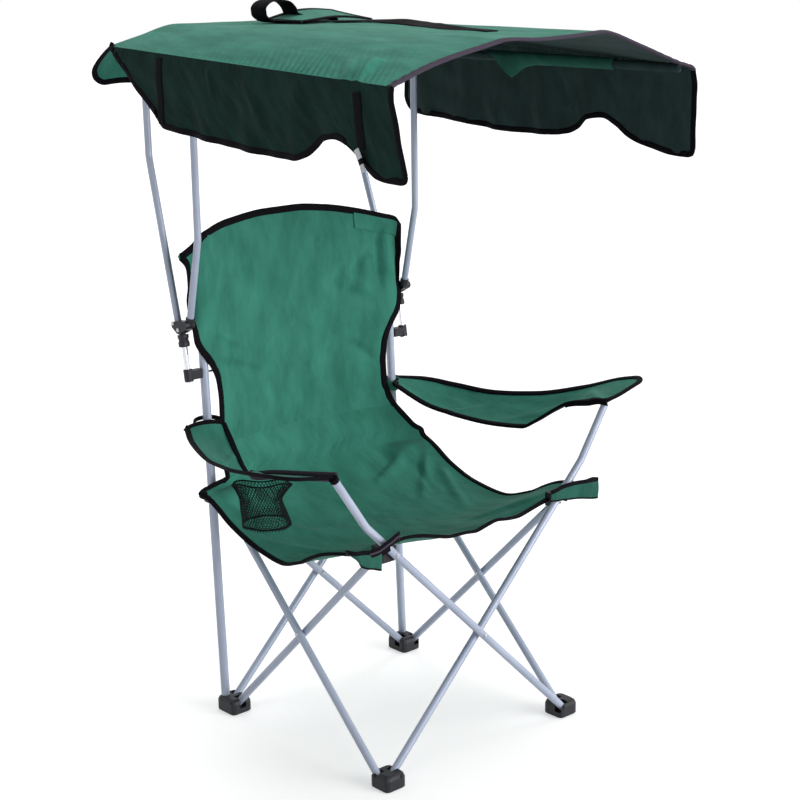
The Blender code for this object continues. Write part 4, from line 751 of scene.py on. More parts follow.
def sling_seat(u, v):
    t = 2 * u - 1
    on_right = (t < 0) & (v < 0.3)
    half = np.where((t < 0) & (v < 0.5), smooth_table(right_half, v), smooth_table(seat_half, v))
    x = t * half
    level = np.abs(t) ** (2.2 + 1.2 * np.clip(1 - v * 3, 0, 1))
    rim = np.where(on_right[..., None], smooth_table(right_corner, v), smooth_table(seat_edge, v))
    y, z = np.moveaxis(smooth_table(seat_middle, v) * (1 - level[..., None]) + rim * level[..., None], -1, 0)
    seam = back_place(u, np.ones_like(u))[..., 1]
    start = 0.3177 + (0.2818 - 0.3177) * np.abs(t) ** 3.4
    y = y + np.clip(1 - v / 0.2, 0, 1) ** 2 * (seam - start)
    loose = np.clip(1.02 - np.abs(t), 0, 1) ** 0.5 * np.clip(v * 12, 0, 1)
    z = z + 0.0035 * uneven(x, y, 0.13, 12) * loose + 0.0012 * uneven(x, y, 0.04, 7) * loose
    for fold in (
            ((0.29, 0.21), (0.15, 0.07), 0.011, 0.010), ((0.29, 0.16), (0.20, -0.02), 0.011, 0.008),
            ((0.27, 0.235), (0.10, 0.17), 0.011, 0.009), ((0.24, 0.19), (0.20, 0.10), 0.008, -0.006),
            ((-0.29, 0.20), (-0.14, 0.05), 0.012, 0.009), ((-0.30, 0.11), (-0.18, -0.08), 0.012, 0.007),
            ((-0.26, 0.24), (-0.12, 0.18), 0.011, 0.007), ((0.28, -0.21), (0.12, -0.10), 0.012, 0.009),
            ((0.25, -0.235), (0.08, -0.17), 0.010, 0.007), ((-0.28, -0.21), (-0.12, -0.11), 0.012, 0.008),
            ((-0.24, -0.235), (-0.09, -0.19), 0.010, 0.006), ((0.05, 0.0), (-0.12, -0.04), 0.018, -0.005)):
        z = z + crease(x, y, *fold)
    over_collar = np.exp(-((np.abs(x) - 0.252) / 0.052) ** 4 - ((y - 0.262) / 0.050) ** 4)
    z = z + over_collar * np.maximum(0.5155 - z, 0)
    x = x + 0.010 * t ** 9 * np.exp(-((v - 0.165) / 0.022) ** 2)
    front_dip = np.clip(v * 3.2 - 2.2, 0, 1) ** 1.5
    for height, at, width, power in (
            (0.012, -0.17, 0.06, 2), (-0.004, 0.14, 0.03, 2), (0.010, -0.15, 0.075, 4),
            (0.007, 0.07, 0.03, 2), (-0.004, 0.01, 0.02, 2)):
        z = z + front_dip * height * np.exp(-((x - at) / width) ** power)
    return np.stack([x, y, z], -1)


print("the seat's middle hangs", round(float(sling_seat(np.array([0.5]), np.array([0.5]))[0, 2]), 3),
      "m above the floor")

# %% [markdown]
# ## Seat halves
# One surface is cut into a rear and a front half, because the seat breaks in the middle as the
# frame folds. The halves share the row of points where they meet, so no gap shows. A tape
# binds the free edges, and a webbing strap covers the right rear corner.

# %% Seat panels and their bindings
seat_halves = {}
for name, first, last in (("seat_rear", 0.0, 0.5), ("seat_front", 0.5, 1.0)):
    def place(u, v, first=first, last=last):
        return sling_seat(u, first + (last - first) * v)

    sheet = sew(name + "_sling", place, 101, 61, green_oxford, green_oxford)
    if name == "seat_rear":
        tapes = [bind(f"seat_rear_binding_{k}", place, edge((k, 0), (k, 1)), thick=0.007) for k in (0, 1)]
        tapes.append(bind("seat_corner_strap", place, edge((0, 0.25), (0, 0.42)), webbing, 0.017, 0.0095))
    else:
        tapes = [bind("seat_front_binding", place, edge((0, 0), (0, 1), (1, 1), (1, 0)), thick=0.007)]
    seat_halves[name] = (sheet, tapes)

# %% [markdown]
# ## Armrests
# Each armrest is a small hammock: its rear end is a loop round the back post, its front end a
# hem over the top of the arm post, and its long edges hang free. The inner edge stops short at
# a corner and the front edge runs up from there to the arm post. Two curves, one for each long
# edge, carry the whole shape, because cloth under tension runs nearly straight between them.

# %% Armrest surfaces
arm_edges = {       # rows of (v, outwards, y, z) for the inner and the outer edge
    "left": (((0.0, 0.244, 0.268, 0.650), (0.08, 0.258, 0.250, 0.634), (0.22, 0.285, 0.200, 0.604),
              (0.38, 0.302, 0.130, 0.592), (0.54, 0.322, 0.036, 0.586), (0.68, 0.343, -0.046, 0.590),
              (0.72, 0.349, -0.066, 0.601), (0.86, 0.377, -0.160, 0.662), (1.0, 0.378, -0.264, 0.680)),
             ((0.0, 0.291, 0.316, 0.653), (0.07, 0.339, 0.264, 0.651), (0.16, 0.372, 0.205, 0.643),
              (0.34, 0.410, 0.110, 0.634), (0.52, 0.448, 0.005, 0.643), (0.70, 0.492, -0.100, 0.668),
              (0.86, 0.506, -0.195, 0.700), (1.0, 0.508, -0.272, 0.718))),
    "right": (((0.0, 0.238, 0.272, 0.652), (0.10, 0.258, 0.222, 0.634), (0.24, 0.287, 0.160, 0.615),
               (0.38, 0.318, 0.090, 0.599), (0.42, 0.325, 0.070, 0.600), (0.60, 0.341, -0.030, 0.625),
               (0.80, 0.360, -0.148, 0.652), (1.0, 0.378, -0.266, 0.679)),
              ((0.0, 0.328, 0.292, 0.652), (0.12, 0.361, 0.231, 0.646), (0.34, 0.420, 0.100, 0.650),
               (0.52, 0.457, 0.000, 0.662), (0.70, 0.485, -0.090, 0.676), (0.86, 0.497, -0.185, 0.691),
               (1.0, 0.495, -0.268, 0.700)))}


def armrest_place(name, u, v):
    side = -1 if name == "right" else 1
    inner, outer = (smooth_table(rows, v) for rows in arm_edges[name])
    w = u[..., None]
    x, y, z = np.moveaxis(inner * (1 - w) + outer * w, -1, 0)
    hang = np.sin(np.pi * u) * np.clip(1 - v, 0, 1) ** 0.4 * np.clip(v * 7, 0, 1)
    z = z - (0.014 if side > 0 else 0.006) * hang + 0.0022 * uneven(x, y, 0.07, 21 + side) * hang
    if side < 0:
        z = z + 0.010 * np.sin(np.pi * u) ** 0.7 * np.exp(-(v / 0.05) ** 2)
    else:
        post = np.exp(-(((x - 0.385) / 0.022) ** 2 + ((y + 0.255) / 0.030) ** 2))
        z = z + 0.003 * post + crease(x, y, (0.37, -0.255), (0.47, -0.12), 0.014, 0.007)
    z = (z + crease(x, y, (0.35, 0.02), (0.44, -0.10), 0.012, 0.005)
         + crease(x, y, (0.30, 0.16), (0.37, 0.10), 0.010, 0.004))
    return np.stack([side * x, y, z], -1)


print("armrest heights at the arm post:", {side: rows[1][-1][3] for side, rows in arm_edges.items()})

# %% [markdown]
# ## Armrest hems and loops
# The free edges are bound, the front hem is a wider band laid flat, and the loop at the rear is
# a ring round the post. The right arm post shows the rim of its plug where it comes through
# the hem.

# %% Armrest panels, hems and loops
armrests = {}
turns = np.arange(40) * 2 * np.pi / 40
for name, side in SIDES:
    def place(u, v, name=name):
        return armrest_place(name, u, v)

    on_right = side < 0
    place = round_corners(place, 0.28, 0.07, ((1, 1),))
    sheet = sew(f"armrest_sling_{name}", place, 41, 101, green_oxford, green_oxford)
    tape = bind(f"armrest_binding_{name}", place, edge((0, 0), (0, 1), (1, 1), (1, 0), (0, 0)),
                thick=0.0075, closed=True)
    corner, rise, wide = (0.42, 0.0, 0.019) if on_right else (0.84, -0.003, 0.0125)
    at = place(np.zeros(40), np.linspace(corner, 1.0, 40)) + (0, 0, rise)
    hem = skin(f"armrest_hem_{name}", sweep_rings(at, flat_oval(wide, 0.005), np.tile((0.0, 0, 1), (40, 1))),
               [front_binding if on_right else binding], smooth_angle=70)
    reach_x, reach_y = (0.032, 0.022) if on_right else (0.0165, 0.0165)
    ring = np.stack([side * (POST_X + reach_x * np.cos(turns)), 0.2985 + reach_y * np.sin(turns),
                     0.655 + 0.004 * np.sin(turns) - (0 if on_right else 0.010)], 1)
    loop_outline = flat_oval(0.003, 0.010 if on_right else 0.024)
    loop = skin(f"armrest_loop_{name}", sweep_rings(ring, loop_outline, ring - ring.mean(0), True),
                [binding if on_right else green_oxford], True, 70)
    armrests[name] = [sheet, tape, loop, hem]
tip = np.array((-0.385, -outer_out, 0.672))
slope = np.array((-0.5614, 0, 0.8275))
cap_path = [tip + slope * k for k in (0.002, 0.004, 0.008, 0.010)]
armrests["right"].append(skin("armrest_cap", sweep_rings(cap_path, circle(0.0092)), [binding]))

# %% [markdown]
# ## Cup holder
# A net bag of knotted yarn hangs through a hole in the right armrest, with a band at its rim
# and one round its foot. The net is drawn as real yarn: a diamond lattice whose edges are
# thickened, so the green behind it shows through.

# %% Cup holder
cup_x, cup_y, cup_low, cup_high = -0.362, -0.010, 0.520, 0.608
away_x, away_y = 0.74, -0.67        # the way the bag leans as it hangs
cup_radius = ((0.0, 0.0490), (0.3, 0.0465), (0.6, 0.0465), (0.85, 0.0525), (1.0, 0.0600))


def cup_place(turn_share, height_share):
    r = smooth_table(cup_radius, height_share)
    angle = turn_share * 2 * np.pi
    dent = np.exp(-((np.cos(angle - 5.6) - 1) / 0.25) ** 2)
    pinch = 1 - 0.20 * dent * np.sin(np.pi * height_share ** 1.3) ** 2
    z = cup_low + (cup_high - cup_low) * height_share
    r = r * (1 + 0.03 * np.sin(3 * angle + 4 * height_share) + 0.02 * np.sin(7 * angle - 6 * height_share))
    z = z + 0.003 * np.sin(4 * angle + 1) * height_share
    z = z - 0.21 * height_share * r * (0.67 * np.cos(angle) + 0.74 * np.sin(angle))
    lean = 0.010 * (1 - height_share)
    return np.stack([cup_x + away_x * lean + r * pinch * np.cos(angle),
                     cup_y + away_y * lean + r * pinch * np.sin(angle), z], -1)


print("cup holder from", cup_low, "to", cup_high, "m above the floor")

# %% [markdown]
# ## Net
# Every second row of knots is turned by half a step, and each knot is tied to two knots of the
# row above, which makes the diamonds. Three small rings of yarn close the foot.

# %% Knots and yarns of the net
around, tall = 50, 17               # knots round the bag, and rows of knots up it
foot_knots = 22                     # knots in each ring of the bag's foot
knots, lattice = [], []
for row in range(tall + 1):
    turns = (np.arange(around) + 0.5 * (row % 2)) / around
    knots.append(cup_place(turns, np.full(around, row / tall)))
knots = np.concatenate(knots)
for row in range(tall):
    for k in range(around):
        here, shift = row * around + k, row % 2
        for over in (k - 1 + shift, k + shift):
            lattice.append((here, (row + 1) * around + over % around))
foot_rings = [(0.036, 0.0), (0.024, -0.0006), (0.012, -0.0008)]
for radius, drop in foot_rings:
    base = len(knots)
    angles = np.arange(foot_knots) * 2 * np.pi / foot_knots
    ring = np.stack([cup_x + 0.0074 + radius * np.cos(angles), cup_y - 0.0067 + radius * np.sin(angles),
                     np.full(foot_knots, cup_low + drop + 0.001)], 1)
    knots = np.concatenate([knots, ring])
    lattice += [(base + k, base + (k + 1) % foot_knots) for k in range(foot_knots)]
print("net knots:", len(knots), "yarns:", len(lattice))

# %% [markdown]
# ## Yarn
# Each yarn is a thin square bar, which keeps nearly two thousand of them light. The rim and the
# foot band are tapes that run all the way round.

# %% Net, rim and foot band
def yarn_net(name, points, links, thickness, material):
    """Thin square yarns between points."""
    corners, quads = [], []
    for a, b in links:
        p, q = points[a], points[b]
        along = unit(q - p)
        side = unit(np.cross(along, (0.01, 0.02, 1.0))) * thickness / 2
        rise = np.cross(along, side)
        base = len(corners)
        for end in (p, q):
            corners += [end + side + rise, end - side + rise, end - side - rise, end + side - rise]
        quads += [tuple(base + i for i in f) for f in
                  ((0, 1, 5, 4), (1, 2, 6, 5), (2, 3, 7, 6), (3, 0, 4, 7), (3, 2, 1, 0), (4, 5, 6, 7))]
    uv = np.array(corners)[:, :2]
    return add_object(name, corners, quads, uv, [material])


cup_net = yarn_net("cup_holder_net", knots, lattice, 0.0010, net_yarn)
turns = np.arange(48) / 48
rim = cup_place(turns, np.full(48, 0.985))
cup_rim = skin("cup_holder_rim", sweep_rings(rim, flat_oval(0.0018, 0.0026), rim - rim.mean(0), True),
               [binding], True, 70)
foot = cup_place(turns, np.full(48, 0.05))
cup_foot = skin("cup_holder_foot", sweep_rings(foot, flat_oval(0.0018, 0.0036), foot - foot.mean(0), True),
                [binding], True, 70)

# %% [markdown]
# ## Roof
# The roof is one panel over the rods' ends, crowned in the middle, with a valance sewn along
# each side and a short flap at the rear. Its front and rear edges are curves read from the
# chair, and the panel runs straight between them with small waves. The right seam is gathered,
# and its pleats fade within a hand's width.

# %% Roof panel
ROOF_HALF, ROOF_FRONT, ROOF_DEPTH = 0.4, -0.46, 0.85
roof_front = ((-0.400, 1.409), (-0.387, 1.4135), (-0.301, 1.440), (-0.218, 1.459), (-0.144, 1.4715),
              (-0.129, 1.4733), (-0.110, 1.4728), (-0.042, 1.469), (0.010, 1.470), (0.091, 1.4735),
              (0.120, 1.4762), (0.135, 1.4767), (0.150, 1.4742), (0.233, 1.4465), (0.400, 1.3905))
roof_rear = ((-0.400, 1.446), (-0.325, 1.464), (-0.235, 1.482), (-0.160, 1.4805), (-0.104, 1.480),
             (-0.022, 1.481), (0.150, 1.482), (0.328, 1.462), (0.400, 1.440))


def roof_place(u, v):
    x = -ROOF_HALF + 2 * ROOF_HALF * u
    y = ROOF_FRONT + ROOF_DEPTH * v
    front, rear = smooth_table(roof_front, x), smooth_table(roof_rear, x)
    z = front * (1 - v) + rear * v
    inside = np.clip(np.minimum(u, 1 - u) * 9, 0, 1)
    crown = (0.005 - 0.008 * np.clip(x * 6, 0, 1)) * np.sin(np.pi * v)
    z = z + crown * inside - 0.0030 * uneven(x, y, 0.22, 31) * inside
    right_seam = x + ROOF_HALF
    gather = np.exp(-right_seam / 0.075) * np.clip(right_seam / 0.006, 0, 1)
    strong = smooth_table(((-0.46, 0.25), (-0.36, 0.8), (-0.22, 1.0), (-0.05, 0.7), (0.15, 0.25),
                           (0.39, 0.0)), y)
    pleats = np.sin((y - 0.8 * right_seam) * 2 * np.pi / 0.0165 + 2.0 * np.sin(y * 31))
    z = z + 0.0032 * gather * strong * pleats
    z = z + crease(x, y, (-0.398, -0.370), (-0.315, -0.335), 0.008, 0.016)
    z = z + crease(x, y, (-0.398, -0.345), (-0.33, -0.27), 0.008, 0.008)
    # The left rods' tips push the cloth up a little at the two corners.
    z = z + 0.006 * np.exp(-((x - 0.383) / 0.012) ** 2 - ((y + 0.43) / 0.04) ** 2)
    z = z + 0.002 * np.exp(-((x - 0.356) / 0.014) ** 2 - ((y - 0.39) / 0.03) ** 2)
    left_seam = ROOF_HALF - x
    z = z + 0.0016 * np.exp(-left_seam / 0.05) * np.sin((y + 0.7 * left_seam) * 2 * np.pi / 0.017)
    return np.stack([x, y, z], -1)


roof = sew("canopy_roof", roof_place, 121, 361, green_oxford, under_roof_painted_shade)

# %% [markdown]
# ## Valances
# Each valance hangs from the roof's side seam in soft vertical folds, and its hem rises in one
# wave near the front. The top row of points is the roof's own edge, so the seam can't open. The
# folds grow towards the hem, because the seam holds them flat.

# %% Valances
hem_right = ((0.0, -0.4995, 1.262), (0.012, -0.4965, 1.2525), (0.03, -0.483, 1.2475), (0.06, -0.456, 1.2485),
             (0.10, -0.425, 1.253), (0.135, -0.398, 1.264), (0.165, -0.376, 1.284), (0.20, -0.347, 1.3045),
             (0.245, -0.312, 1.313), (0.285, -0.283, 1.308), (0.32, -0.258, 1.292), (0.35, -0.234, 1.2755),
             (0.39, -0.200, 1.2665), (0.50, -0.110, 1.269), (0.68, 0.030, 1.279), (0.86, 0.150, 1.290),
             (0.97, 0.206, 1.297), (1.0, 0.220, 1.307))
hem_left = ((0.0, -0.461, 1.236), (0.012, -0.457, 1.2225), (0.03, -0.442, 1.2175), (0.08, -0.398, 1.2195),
            (0.14, -0.345, 1.229), (0.20, -0.290, 1.245), (0.25, -0.248, 1.268), (0.295, -0.212, 1.281),
            (0.34, -0.178, 1.2765), (0.38, -0.148, 1.255), (0.42, -0.115, 1.2415), (0.48, -0.070, 1.236),
            (0.62, 0.050, 1.234), (0.82, 0.215, 1.245), (1.0, 0.395, 1.258))


def valance_place(side, u, v):
    hem = smooth_table(hem_right if side < 0 else hem_left, u)
    top = roof_place(np.zeros_like(u) if side < 0 else np.ones_like(u), u)
    y = top[..., 1] * (1 - v) + hem[..., 0] * v
    z = (top[..., 2] + 0.0005) * (1 - v) + hem[..., 1] * v
    x = side * (ROOF_HALF + 0.005 * np.minimum(v * 6, 1))
    flow = v ** 1.3
    waves = 0.0035 * np.sin(y * 2 * np.pi / 0.125 + side) + 0.002 * np.sin(y * 2 * np.pi / 0.071 + 2 * v)
    fullness = smooth_table(((0.0, 0.3), (0.2, 0.6), (0.4, 1.0), (0.85, 1.0), (1.0, 0.4)), u)
    x = x + side * flow * waves * fullness
    x = x + side * 0.0026 * uneven(y, z, 0.06, 40 + side) * np.minimum(v * 4, 1)
    for fold in (((-0.06, 1.41), (-0.12, 1.30), 0.012, 0.006), ((-0.20, 1.40), (-0.25, 1.33), 0.010, 0.005),
                 ((0.05, 1.42), (0.04, 1.37), 0.008, 0.005)):
        x = x + side * crease(y, z, *fold)
    x = x + side * 0.0012 * np.exp(-v / 0.12) * np.sin(y * 2 * np.pi / 0.0135)
    return np.stack([x, y, z], -1)


valances = {}
for name, side in SIDES:
    def place(u, v, side=side):
        return valance_place(side, u, v)

    place = round_corners(place, 0.04, 0.2, ((1, 1),))
    face_and_lining = (under_roof_painted_shade, shade_oxford) if side > 0 else (shade_oxford, under_roof_painted_shade)
    sheet = sew(f"valance_cloth_{name}", place, 161, 41, *face_and_lining)
    tape = bind(f"valance_binding_{name}", place, edge((0, 0), (0, 1), (1, 1), (1, 0), step=150))
    valances[name] = [sheet, tape]

# %% [markdown]
# ## Rear flap
# The flap is sewn to the roof's rear edge and flares backward as it falls, because the rods push
# the roof past the posts. Its lower corners are round. The roof's front edge has the wide grey
# tape.

# %% Rear flap and front binding
def rear_flap_place(u, v):
    x = (-0.397 + 0.794 * u) * (1 + 0.012 * v)
    top = roof_place(np.clip(u, 0.004, 0.996), np.ones_like(u))
    y = top[..., 1] - 0.002 + 0.082 * np.sin(v * np.pi / 2)
    z = top[..., 2] * (1 - v) + (1.366 - 0.003 * np.abs(2 * u - 1) ** 2) * v
    z = z + 0.004 * uneven(x, y, 0.10, 51) * v + 0.004 * np.sin(np.pi * v)
    return np.stack([x, y, z], -1)


rear_flap_place = round_corners(rear_flap_place, 0.05, 0.45, ((0, 1), (1, 1)))
flap = sew("rear_flap_cloth", rear_flap_place, 91, 21, green_oxford, green_oxford)
flap_tape = bind("rear_flap_binding", rear_flap_place, edge((0, 0), (0, 1), (1, 1), (1, 0)))
roof_tape = bind("roof_front_binding", roof_place, edge((0, 0), (1, 0), step=140), front_binding,
                 0.0145, 0.0065)

# %% [markdown]
# ## Straps on the roof
# The folded roof is carried by a webbing handle, and the same webbing lies loose along the
# top. Webbing bends flat and hardly twists, so it is a flat oval swept along a smooth path, and
# the places where it lies are taken from the roof itself.


# %% Straps
def through(points, steps):
    """A smooth path through points, in this many steps."""
    return smooth_table([(i, *p) for i, p in enumerate(points)], np.linspace(0, len(points) - 1, steps))


def ribbon(name, points, width, thick, facing, material):
    """Flat webbing through points, with its face towards facing."""
    path = through(points, 60)
    sideways = np.cross(np.gradient(path, axis=0), np.broadcast_to(np.array(facing, float), path.shape))
    return skin(name, sweep_rings(path, flat_oval(width, thick), sideways), [material], smooth_angle=70)


def on_roof(x, y, rise=0.0):
    """A place on the roof at x and y, or this far above it."""
    u, v = (x + ROOF_HALF) / (2 * ROOF_HALF), (y - ROOF_FRONT) / ROOF_DEPTH
    return roof_place(np.array(u), np.array(v)) + (0, 0, rise)


handle_path = through((
    on_roof(-0.02, 0.25, 0.004), on_roof(-0.07, 0.25, 0.004), on_roof(-0.105, 0.25, 0.006),
    (-0.126, 0.25, 1.500), (-0.1275, 0.25, 1.512), (-0.118, 0.25, 1.523), (-0.098, 0.25, 1.5285),
    (-0.066, 0.25, 1.525), (-0.048, 0.25, 1.511), (-0.042, 0.248, 1.500), on_roof(0.0, 0.24, 0.010),
    on_roof(0.05, 0.22, 0.004)), 90)
across = np.tile((0.0, 1.0, 0), (90, 1))
handle = skin("carry_handle", sweep_rings(handle_path, flat_oval(0.050, 0.005), across),
              [webbing], smooth_angle=70)
lying_points = [on_roof(*p) for p in (
    (-0.030, 0.130, 0.004), (0.010, 0.085, 0.004), (0.045, 0.052, 0.005), (0.058, 0.010, 0.006),
    (0.037, -0.060, 0.006), (0.006, -0.130, 0.005), (-0.008, -0.185, 0.003), (0.006, -0.225, 0.002),
    (0.012, -0.255, 0.002), (0.006, -0.290, 0.002))]
t = np.linspace(0, 1, 60)[:, None]
facings = np.array((-0.5, -0.6, 0.0)) * np.exp(-((t - 0.48) / 0.22) ** 2) + np.array((0, 0, 1.0))
lying = ribbon("lying_webbing", lying_points, 0.030, 0.003, facings, webbing)
print("webbing on the roof:", handle.name, lying.name)

# %% [markdown]
# ## Bag lid
# The roof folds into a flat bag, and its lid lies open on the roof with one corner lifted. It is
# placed on the roof's own surface, raised by a small arch.

# %% Bag lid
def lid_place(u, v):
    base = on_roof(-0.100 + 0.188 * u, 0.275 - 0.13 * v)
    lift = 0.014 * np.sin(np.pi * u) * (1 - 0.7 * v) + 0.006 + 0.015 * u ** 2 * (1 - v)
    return base + np.stack([0 * u, 0 * u, lift], -1)


lid = sew("bag_lid_cloth", lid_place, 41, 25, green_oxford, green_oxford)
lid_tape = bind("bag_lid_binding", lid_place, edge((0, 0), (1, 0), (1, 1), (0, 1), (0, 0), step=40),
                width=0.015, closed=True)

# %% [markdown]
# ## Valance straps
# Two short straps run down the right valance to tie it round the rods, and the front one ends
# in pale sliders. Each strap takes its depth from the nearest points of the valance, smoothed,
# so it lies on the folds and doesn't sink into them.

# %% Valance straps and sliders
def valance_strap(name, top, bottom, width):
    """Webbing flat on the right valance between two (y, z) places."""
    t = np.linspace(0, 1, 26)
    y, z = top[0] + (bottom[0] - top[0]) * t, top[1] + (bottom[1] - top[1]) * t
    u, v = np.meshgrid(np.linspace(0, 1, 321), np.linspace(0, 1, 41))
    cloth = valance_place(-1, u, v).reshape(-1, 3)
    nearest = [np.argmin((cloth[:, 1] - a) ** 2 + (cloth[:, 2] - b) ** 2) for a, b in zip(y, z)]
    path = np.stack([cloth[nearest, 0] - 0.0024, y, z], 1)
    path[:, 0] = np.convolve(np.pad(path[:, 0], 3, "edge"), np.ones(7) / 7, "valid")
    sideways = np.broadcast_to(np.array((0.0, 1.0, 0.0)), path.shape)
    return skin(name, sweep_rings(path, flat_oval(width, 0.0022), sideways), [webbing], smooth_angle=70)


valance_straps = [valance_strap("valance_strap_rear", (0.212, 1.430), (0.2055, 1.304), 0.019),
                  valance_strap("valance_strap_front", (-0.374, 1.396), (-0.384, 1.300), 0.021)]
SLIDER_X = -0.4165
sliders = []
for (y0, z0), (y1, z1), width, finish in (
        ((-0.3835, 1.301), (-0.3925, 1.285), 0.013, pale_nylon),
        ((-0.3925, 1.285), (-0.397, 1.276), 0.012, webbing),
        ((-0.397, 1.276), (-0.403, 1.264), 0.010, pale_nylon)):
    rings = sweep_rings([(SLIDER_X, y0, z0), (SLIDER_X, y1, z1)], flat_oval(width, 0.003),
                        np.tile((0.0, 1.0, 0), (2, 1)))
    sliders.append(skin(f"strap_slider_{len(sliders)}", rings, [finish]))
print("valance straps:", len(valance_straps), "slider pieces:", len(sliders))

# %% [markdown]
# ## Rod sleeves
# Under the roof a loose sleeve of cloth holds each front rod. It hangs deepest at its rear end,
# which is cut slanting, and a narrower wrap covers the rod before and after it.

# %% Rod sleeves
SLEEVE_DROP = {-1: 0.003, 1: 0.012}         # how far each side's rod end lies below its turn


def along_rod(side, share):
    """A place on the front rod's upper stretch, at a share of the way to its tip."""
    return (side * (ROD_X + 0.081 * share), ROD_TURN_Y - 0.687 * share,
            ROD_TURN_Z - SLEEVE_DROP[side] * share)


def rod_sleeve_place(side, u, v):
    """A cloth tube round a front rod, loose and slanted at its rear end."""
    turn = 2 * np.pi * v
    below = (1 - np.cos(turn)) / 2
    share = 0.30 + (0.66 if side < 0 else 0.48) * u + 0.10 * below * (1 - u) ** 5
    half = smooth_table(((0.0, 0.017), (0.15, 0.017), (0.4, 0.012), (1.0, 0.0105)), u)
    drop = smooth_table(((0.0, 0.042), (0.12, 0.037), (0.26, 0.020), (0.40, 0.0125), (1.0, 0.0110)), u)
    x, y, z = along_rod(side, share)
    x = x + side * half * np.sin(turn)
    z = z + np.where(np.cos(turn) > 0, 0.012, drop) * np.cos(turn)
    return np.stack([x, y, z], -1)


sleeves = {}
for name, side in SIDES:
    def place(u, v, side=side):
        return rod_sleeve_place(side, u, v if side > 0 else 1 - v)

    sleeves[name] = [sew(f"rod_sleeve_{name}", place, 91, 33, sleeve_wrap_painted_shade, under_roof_painted_shade)]
    for k, (shares, radius) in enumerate((((0.06, 0.2, 0.36), 0.0092), ((0.74, 0.87, 1.0), 0.0094))):
        path = [along_rod(side, share) for share in shares]
        sleeves[name].append(skin(f"rod_wrap_{name}_{k}", sweep_rings(path, circle(radius)), [under_roof_painted_shade]))

# %% [markdown]
# ## Seat corners
# At the front the sling is pulled round each arm bar by a wrap of cloth between two narrow
# tapes. Each wrap is a strip whose upper and lower edges are given place by place, because it
# is drawn tight and follows the bar closely.

# %% Front wraps
wrap_plan = {       # rows of (u, x, y, top z, bottom z)
    "left": ((0.0, 0.206, -0.2630, 0.520, 0.4990), (0.15, 0.226, -0.2655, 0.5235, 0.4960),
             (0.3, 0.252, -0.2658, 0.5270, 0.4930), (0.55, 0.300, -0.2660, 0.5240, 0.4850),
             (0.78, 0.349, -0.2655, 0.5185, 0.4745), (0.84, 0.3545, -0.261, 0.5175, 0.475),
             (0.90, 0.352, -0.250, 0.516, 0.480), (1.0, 0.330, -0.236, 0.507, 0.487)),
    "right": ((0.0, -0.288, -0.2830, 0.522, 0.477), (0.2, -0.306, -0.2835, 0.5225, 0.4835),
              (0.5, -0.338, -0.2835, 0.5265, 0.494), (0.72, -0.3585, -0.283, 0.5305, 0.5015),
              (0.80, -0.3635, -0.277, 0.5325, 0.505), (0.88, -0.358, -0.262, 0.528, 0.504),
              (1.0, -0.332, -0.237, 0.512, 0.495))}
wraps = {}
for name in ("left", "right"):
    def place(u, v, name=name):
        x, y, top, low = np.moveaxis(smooth_table(wrap_plan[name], u), -1, 0)
        bulge = 0.0025 * np.sin(np.pi * v) + 0.001 * np.sin(u * 23)
        if name == "right":
            x = x + 0.026 * v ** 1.5 * np.clip((u - 0.3) / 0.5, 0, 1) ** 2
        return np.stack([x, y - bulge, top * (1 - v) + low * v], -1)

    sheet = sew(f"corner_wrap_{name}", place, 49, 15, sleeve_wrap_painted_shade, sleeve_wrap_painted_shade)
    top_edge, low_edge = edge((0, 0), (1, 0), step=60), edge((0, 1), (1, 1), step=60)
    wraps[name] = [sheet, bind(f"corner_wrap_top_{name}", place, top_edge, width=0.0085, thick=0.0034),
                   bind(f"corner_wrap_low_{name}", place, low_edge, width=0.004, thick=0.003)]

# %% [markdown]
# ## Webbing on the right corner
# A band of webbing with a pale stripe crosses the right wrap and turns in behind the bar, and a
# short patch is sewn below it.

# %% Band, stripe and patch on the right wrap
band_path = through(((-0.320, -0.2850, 0.517), (-0.300, -0.2865, 0.5180), (-0.270, -0.2865, 0.5270),
                     (-0.243, -0.2830, 0.5350), (-0.226, -0.266, 0.528), (-0.210, -0.2475, 0.512)), 50)
patch_path = np.array([(-0.300, -0.2815, 0.510), (-0.280, -0.282, 0.513), (-0.264, -0.2815, 0.517)])
for label, path, width, thick, finish in (
        ("band", band_path, 0.016, 0.003, webbing),
        ("stripe", band_path - (0, 0.0016, 0), 0.004, 0.003, front_binding),
        ("patch", patch_path, 0.016, 0.0025, webbing)):
    upright = np.tile((0.0, 0, 1), (len(path), 1))
    rings = sweep_rings(path, flat_oval(width, thick), upright)
    wraps["right"].append(skin(f"corner_{label}_right", rings, [finish]))
print("pieces in the right corner:", len(wraps["right"]))

# %% [markdown]
# ## Rear corner loops
# At the rear a webbing loop holds the seat to the top of each sliding collar. It follows the
# collar's measured outline with a little room, and rides on the collar as it slides.

# %% Rear corner loops
rear_loops = {}
turns = np.arange(40) * 2 * np.pi / 40
for name, side in SIDES:
    low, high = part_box(f"rear_collar_{name}")
    middle, half = (low + high) / 2, (high - low) / 2
    oval = np.stack([np.sign(np.cos(turns)) * np.abs(np.cos(turns)) ** 0.6 * (half.x + 0.004) + middle.x,
                     np.sign(np.sin(turns)) * np.abs(np.sin(turns)) ** 0.6 * (half.y + 0.004) + middle.y,
                     high.z - 0.014 + 0.002 * np.sin(2 * turns + 1)], 1)
    rings = sweep_rings(oval, flat_oval(0.0035, 0.015), oval - oval.mean(0), True)
    rear_loops[name] = skin(f"rear_corner_loop_{name}", rings, [webbing], True, 70)
print("corner pieces:", sum(len(w) for w in wraps.values()) + len(rear_loops))

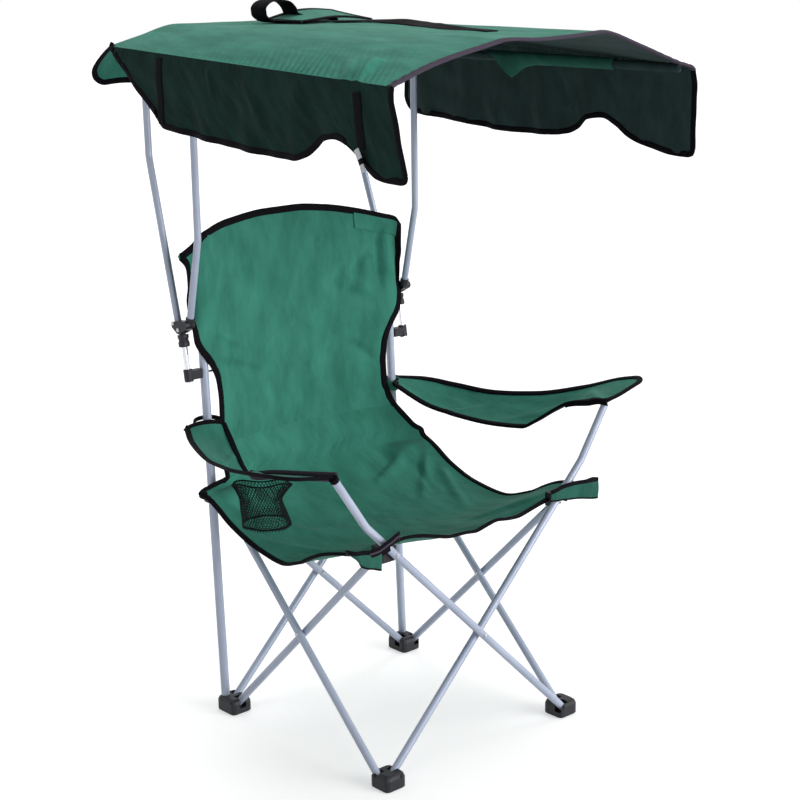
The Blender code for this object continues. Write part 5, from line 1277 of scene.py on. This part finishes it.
# %% [markdown]
# ## Moving parts
# Every soft piece rides on the body that carries it, and the measured part it stands for is
# hidden. Cloth that spans the frame can't follow it as it folds, and it isn't flattened here.

# %% Ride on bodies
soft_pieces = []


def carried(pieces, body, slot, replaced=(), axis=(1, 0, 0), anchor=(0, 0, 0), keep=0.3):
    """Ride pieces on a body, and hide the measured parts they replace. The axis and the share to keep are not
    used.
    """
    soft_pieces.extend(pieces)
    for piece in pieces:
        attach(piece, body)
        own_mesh(piece)
    if replaced:
        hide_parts(*replaced)


carried([back_cloth, back_binding, back_patch, *back_sleeves], "rear_right", "green_cloth", ["back_cloth"],
        anchor=(-0.264, 0, 0), keep=0.241)
for end in ("rear", "front"):
    sheet, tapes = seat_halves[f"seat_{end}"]
    carried([sheet, *tapes], f"seat_{end}", "green_cloth", [f"seat_cloth_{end}"],
            anchor=(-0.26, 0, 0), keep=0.23)
arm_axis = {"right": ((0.507, 0.860, -0.054), (-0.264, 0.2977, 0.649), 0.474),
            "left": ((-0.52, 0.854, -0.004), (0.264, 0.2977, 0.649), 0.470)}
for name in ("right", "left"):
    axis, anchor, keep = arm_axis[name]
    carried(armrests[name], f"{name}_armrest", "green_cloth", [f"armrest_{name}"], axis, anchor, keep)
carried([cup_net, cup_rim, cup_foot], "right_armrest", "mesh_cloth", ["cup_holder"], *arm_axis["right"])
roof_gather = {"anchor": (-0.392, 0, 0), "keep": 0.489}
carried([roof, roof_tape], "right_head", "green_cloth", ["canopy_top"], **roof_gather)
carried(valances["right"] + valance_straps + sliders, "right_head", "dark_cloth", ["valance_right"],
        **roof_gather)
carried(valances["left"], "right_head", "dark_cloth", ["valance_left"], **roof_gather)
carried([flap, flap_tape], "right_head", "green_cloth", ["rear_flap"], **roof_gather)
carried([handle, lying, lid, lid_tape], "right_head", "dark_cloth", ["carry_strap_right", "carry_strap_left"],
        **roof_gather)
carried(sleeves["left"] + sleeves["right"], "right_head", "green_cloth", ["canopy_pocket"], **roof_gather)
for name, x in (("right", -0.268), ("left", 0.268)):
    carried(wraps[name], f"{name}_front_bracket", "green_cloth", anchor=(x, 0, 0), keep=0.45)
    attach(rear_loops[name], f"rear_{name}_collar")
print("soft pieces that gather:", len(soft_pieces))

# %% [markdown]
# ## Cloth facts
# The loops below go over the seat halves and the armrests, and list flat sizes for the rod
# sleeves and their wraps, but nothing keeps them.

for name in ("seat_rear", "seat_front"):
    sheet, tapes = seat_halves[name]
for name in ("right", "left"):
    sheet, *pieces = armrests[name]
for name in ("right", "left"):
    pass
for name, sleeve_flat, wrap_flat in (("right", (0.47, 0.080), (0.14, 0.035)),
                                     ("left", (0.35, 0.080), (0.19, 0.04))):
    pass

# %% Import json
import json
